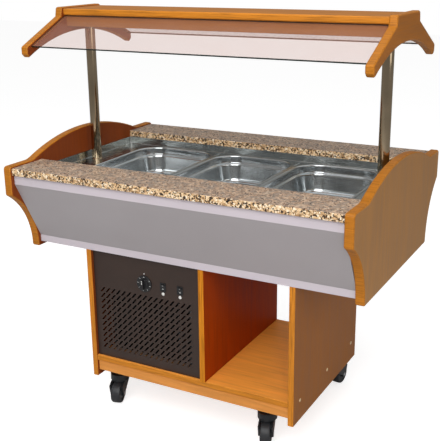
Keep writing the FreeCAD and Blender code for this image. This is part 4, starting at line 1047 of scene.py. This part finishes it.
class SALADBAR_OT_cabinet(bpy.types.Operator):
    """Grilles, screws and screw caps"""
    bl_idname = "saladbar.cabinet"
    bl_label = "Grilles"

    def execute(self, context):
        chosen = settings().front
        paint = painted("grille_paint", chosen.grille, 0.42, 0.12, 900.0)
        dress("front_grille", paint)
        dress("rear_grille", paint)
        self.add_rear_screws(paint)
        dress("screw_caps", opal("cap_plastic", (0.66, 0.48, 0.26)))
        return {"FINISHED"}

    def add_rear_screws(self, paint):
        """Screws along both upright sides of the rear grille."""
        low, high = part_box("rear_grille")
        margin = 0.012
        points = [(x, -high.y, low.z + margin + (high.z - low.z - 2 * margin) * step / 3)
                  for x in (-high.x + margin, -low.x - margin) for step in range(4)]
        screws = repeated("rear_grille_screws", screw_head("screw_pattern", paint), paint,
                          points=points)
        screws.data.transform(Matrix.Rotation(math.pi, 4, "Z"))
        fix(screws, "rear_grille")


class SALADBAR_OT_controls(bpy.types.Operator):
    """Thermostat knob with its numbers, rocker switches and pilot lamps"""
    bl_idname = "saladbar.controls"
    bl_label = "Controls"

    def execute(self, context):
        plastic = painted("black_plastic", (0.012, 0.012, 0.013), 0.35, 0.08)
        ink = painted("white_ink", (0.78, 0.78, 0.76), 0.6, 0.05)
        dress("thermostat", plastic)
        softened("thermostat_knob", "thermostat_knob_grip", plastic, 0.0009, 3)
        softened("switch_housings", "switch_frames", plastic, 0.0006)
        self.add_dial(ink)
        for node in ("power_rocker", "light_rocker"):
            softened(node, f"{node}_key", plastic, 0.0005)
            self.mark_rocker(node, ink)
        self.add_lenses()
        return {"FINISHED"}

    def add_dial(self, ink):
        """Numbers round the skirt of the knob, its pointer, and the mark on the panel."""
        chosen = settings().dial
        low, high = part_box("thermostat_knob")
        middle = (low + high) / 2
        skirt, full_turn, proud = high.y - 0.0027, 300.0, 0.0001
        facing_front = Matrix.Rotation(math.pi / 2, 4, "X")
        for number in range(chosen.count):
            turn = math.radians(-full_turn * number / (chosen.count - 1))
            place = (Matrix.Translation((middle.x, skirt - proud, middle.z))
                     @ Matrix.Rotation(turn, 4, "Y")
                     @ Matrix.Translation((0, 0, chosen.ring)) @ facing_front)
            fix(self.figure(f"dial_number_{number}", str(number), chosen.height, place, ink),
                "thermostat_knob")
        fix(boxed("knob_pointer", (middle.x - 0.0008, low.y - proud, middle.z + 0.002),
                  (middle.x + 0.0008, low.y + 0.0006, middle.z + 0.0155), ink, 0.0001, 1),
            "thermostat_knob")
        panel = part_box("front_grille")[0].y
        fix(boxed("dial_mark", (middle.x - 0.0009, panel - 0.00015, high.z + 0.0025),
                  (middle.x + 0.0009, panel + 0.0003, high.z + 0.0085), ink, 0.0001, 1),
            "front_grille")

    def figure(self, name, text, height, place, ink):
        """One printed number as a thin mesh."""
        curve = bpy.data.curves.new(name, "FONT")
        curve.body, curve.size = text, height
        curve.align_x, curve.align_y = "CENTER", "CENTER"
        curve.extrude = 0.00008
        writing = bpy.data.objects.new(name, curve)
        bpy.context.scene.collection.objects.link(writing)
        evaluated = writing.evaluated_get(bpy.context.evaluated_depsgraph_get())
        mesh = bpy.data.meshes.new_from_object(evaluated)
        bpy.data.objects.remove(writing)
        mesh.transform(place)
        return link_mesh(name, mesh, ink)

    def mark_rocker(self, node, ink):
        """Bar on the upper half of a rocker and ring on the lower half."""
        tilt, rise, reach = math.radians(98), 0.0015, 0.006
        slant = math.atan2(rise, 0.0108)
        face = rise + reach * math.tan(slant)
        seat_of_key = (Matrix.Translation(joint_of(body_of(node))["pos_m"])
                       @ Matrix.Rotation(tilt, 4, "X"))
        upper = seat_of_key @ Matrix.Translation((0, reach, face)) @ Matrix.Rotation(slant, 4, "X")
        lower = (seat_of_key @ Matrix.Translation((0, -reach, face))
                 @ Matrix.Rotation(-slant, 4, "X"))
        bar = boxed(f"{node}_bar", (-0.0004, -0.0022, -0.0001), (0.0004, 0.0022, 0.00012), ink,
                    0.00005, 1)
        bar.data.transform(upper)
        ring = lathe(f"{node}_ring", [(0.0016, -0.0001), (0.0022, -0.0001), (0.0022, 0.00012),
                                      (0.0016, 0.00012)], ink, steps=32, closed=True)
        ring.data.transform(lower)
        for mark in (bar, ring):
            fix(mark, node)

    def add_lenses(self):
        """Domed lenses of the pilot lamps."""
        lens = opal("pilot_lens", (0.62, 0.62, 0.60), 0.05)
        low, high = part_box("pilot_lamps")
        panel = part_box("front_grille")[0].y
        height = (low.z + high.z) / 2
        radius = (high.z - low.z) / 2
        profile = [(TIP, -0.0120), (radius - 0.001, -0.0120), (radius - 0.001, 0.0),
                   (radius, 0.0), (radius, 0.0010), (radius * 0.90, 0.0016),
                   (radius * 0.66, 0.0021), (radius * 0.34, 0.0024), (TIP, 0.0025)]
        for name, x in (("power", low.x + radius), ("light", high.x - radius)):
            seat(lathe(f"{name}_lens", profile, lens, (x, panel, height), (0, -1, 0), 40),
                 "pilot_lamps")


class SALADBAR_OT_cooling(bpy.types.Operator):
    """Refrigerating set behind the grille"""
    bl_idname = "saladbar.cooling"
    bl_label = "Refrigerating set"

    def execute(self, context):
        black = painted("set_black", (0.014, 0.014, 0.015), 0.38, 0.1, 300.0, 0.2)
        dress("set_tray", zinc_plated("tray_zinc"))
        self.add_condenser()
        dress("fan_shroud", black)
        softened("fan_motor", "fan_motor_case", black, 0.003, 3)
        dress("condenser_fan", zinc_plated("fan_aluminium", (0.5, 0.5, 0.52)))
        self.add_compressor(black)
        return {"FINISHED"}

    def add_condenser(self):
        """End plates, a pack of thin fins, and the tubes that cross them."""
        chosen = settings().coil
        low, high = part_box("condenser")
        plate, set_in, tube_radius, row_inset = 0.0016, 0.006, 0.0048, 0.017
        galvanised = zinc_plated("coil_plate_zinc", (0.34, 0.34, 0.35))
        # Painted shade: the aluminium fins are drawn dark grey for the shade they stand in behind the grille.
        shaded_fin = brushed_steel("fin_aluminium", "Z", (0.10, 0.10, 0.105), 0.5, 0.5)
        copper = brushed_steel("tube_copper", "X", (0.50, 0.22, 0.12), 0.35, 0.2)
        for name, x in (("left", low.x), ("right", high.x - plate)):
            seat(boxed(f"coil_{name}_plate", (x, low.y, low.z), (x + plate, high.y, high.z),
                       galvanised, 0.0003, 1), "condenser")
        start, step = low.x + plate + 0.001, (high.x - low.x - 2 * plate - 0.002) / chosen.fins
        leaf = boxed("fin_pattern", (0, low.y + set_in, low.z + set_in),
                     (0.0003, high.y - set_in, high.z - set_in), shaded_fin, 0.00005, 1)
        fins = repeated("coil_fins", leaf, shaded_fin, row=(chosen.fins, (start, 0, 0), (step, 0, 0)))
        seat(fins, "condenser")
        gap = (high.z - low.z) / chosen.tubes
        ends = low.x + TIP, high.x - TIP
        tube = lathe("tube_pattern", [(TIP, ends[0]), (tube_radius, ends[0]),
                                      (tube_radius, ends[1]), (TIP, ends[1])],
                     copper, axis=(1, 0, 0), steps=16)
        points = [(0, y, low.z + gap * (index + 0.5)) for index in range(chosen.tubes)
                  for y in (low.y + row_inset, high.y - row_inset)]
        seat(repeated("coil_tubes", tube, copper, points=points), "condenser")

    def add_compressor(self, black):
        """Seamed shell with round domes, on a foot plate with rubber grommets."""
        low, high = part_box("compressor")
        middle = (low + high) / 2
        lift, foot = 0.016, 0.004
        base = low.z + lift
        half_y = 0.064
        shell = [(TIP, 0.003), (0.048, 0.003), (0.065, 0.007), (0.073, 0.018),
                 (0.076, 0.034), (0.076, 0.0900), (0.079, 0.0912), (0.079, 0.0988),
                 (0.076, 0.1000), (0.076, 0.150), (0.0738, 0.166), (0.067, 0.178),
                 (0.054, 0.186), (0.032, 0.1895), (TIP, 0.190)]
        seat(lathe("compressor_shell", shell, black, (middle.x, middle.y, base)), "compressor")
        seat(boxed("compressor_foot", (low.x, middle.y - half_y, base),
                   (high.x, middle.y + half_y, base + foot), black, 0.0010), "compressor")
        radius = 0.012
        grommet = lathe("grommet_pattern", [(TIP, -lift), (radius - 0.001, -lift),
                                            (radius, -lift + 0.0015), (radius, -0.0095),
                                            (radius - 0.0025, -0.0080), (radius, -0.0065),
                                            (radius, 0.0), (TIP, 0.0)],
                        black, steps=32)
        rubber = painted("grommet_rubber", (0.020, 0.020, 0.021), 0.7, 0.3)
        reach_x, reach_y = (high.x - low.x) / 2 - radius, half_y - radius
        points = [(middle.x + sx * reach_x, middle.y + sy * reach_y, base)
                  for sx in (-1, 1) for sy in (-1, 1)]
        seat(repeated("compressor_grommets", grommet, rubber, points=points), "compressor")


class SALADBAR_OT_castors(bpy.types.Operator):
    """Forks, wheels, stems and sockets"""
    bl_idname = "saladbar.castors"
    bl_label = "Castors"

    tyre = mirrored([(0.0270, -0.0150), (0.0335, -0.0170), (0.0350, -0.0165),
                     (0.0364, -0.0148), (0.0371, -0.0120), (0.0375, -0.0060)])
    hub = mirrored([(0.0045, -0.0170), (0.0105, -0.0170), (0.0120, -0.0160), (0.0130, -0.0135),
                    (0.0150, -0.0125), (0.0245, -0.0125), (0.0260, -0.0140),
                    (0.0272, -0.0148)])
    cap = [(TIP, -0.0002), (0.0062, -0.0002), (0.0064, 0.0004), (0.0052, 0.0011),
           (0.0030, 0.0014), (TIP, 0.0015)]
    cap_reach = 0.025

    def execute(self, context):
        hood = painted("hood_plastic", (0.012, 0.013, 0.015), 0.36, 0.15)
        rubber = painted("tread_rubber", (0.020, 0.021, 0.024), 0.52, 0.2)
        core = painted("hub_plastic", (0.035, 0.036, 0.040), 0.40, 0.1)
        zinc = zinc_plated("stem_zinc")
        dress("stem_sockets", zinc)
        for spot in ("front_left", "front_right", "rear_right", "rear_left"):
            softened(f"castor_fork_{spot}", f"castor_hood_{spot}", hood, 0.0009)
            smoothed(f"castor_pins_{spot}", f"castor_stem_{spot}", zinc)
            joint = joint_of(f"wheel_{spot}")
            centre, axis = Vector(joint["pos_m"]), Vector(joint["axis"]).normalized()
            for part, profile, finish in (("tyre", self.tyre, rubber), ("hub", self.hub, core)):
                seat(lathe(f"castor_{part}_{spot}", profile, finish, centre, axis, 72,
                           closed=True), f"castor_wheel_{spot}")
            for name, way in (("near", 1), ("far", -1)):
                fix(lathe(f"axle_{name}_cap_{spot}", self.cap, zinc,
                          centre + axis * way * self.cap_reach, axis * way, 32),
                    f"castor_pins_{spot}")
        return {"FINISHED"}


class SALADBAR_PT_sidebar(bpy.types.Panel):
    """Lists the steps that dress the salad bar"""
    bl_idname = "SALADBAR_PT_sidebar"
    bl_label = "Salad bar"
    bl_space_type = "VIEW_3D"
    bl_region_type = "UI"
    bl_category = "Salad bar"

    def draw(self, context):
        for step in STEPS:
            self.layout.operator(step.bl_idname)
        chosen = settings()
        for group in (chosen.wood, chosen.front, chosen.well, chosen.pans, chosen.dial,
                      chosen.coil, chosen.stage):
            box = self.layout.box()
            for name in group.__annotations__:
                box.prop(group, name)


STEPS = (SALADBAR_OT_stage, SALADBAR_OT_wood, SALADBAR_OT_stone, SALADBAR_OT_front,
         SALADBAR_OT_well, SALADBAR_OT_pans, SALADBAR_OT_canopy, SALADBAR_OT_cabinet,
         SALADBAR_OT_controls, SALADBAR_OT_cooling, SALADBAR_OT_castors)
GROUPS = (WoodSettings, FrontSettings, WellSettings, PanSettings, DialSettings, CoilSettings,
          StageSettings, SaladBarSettings)


def register():
    """Adds the settings, the operators and the panel."""
    for group in GROUPS:
        bpy.utils.register_class(group)
    bpy.types.Scene.salad_bar = PointerProperty(type=SaladBarSettings)
    for step in STEPS:
        bpy.utils.register_class(step)
    bpy.utils.register_class(SALADBAR_PT_sidebar)


def unregister():
    """Takes them away again."""
    bpy.utils.unregister_class(SALADBAR_PT_sidebar)
    for step in reversed(STEPS):
        bpy.utils.unregister_class(step)
    del bpy.types.Scene.salad_bar
    for group in reversed(GROUPS):
        bpy.utils.unregister_class(group)


def main():
    """Dresses the salad bar step by step."""
    register()
    for step in STEPS:
        family, action = step.bl_idname.split(".")
        getattr(getattr(bpy.ops, family), action)()


if __name__ == "__main__":
    main()
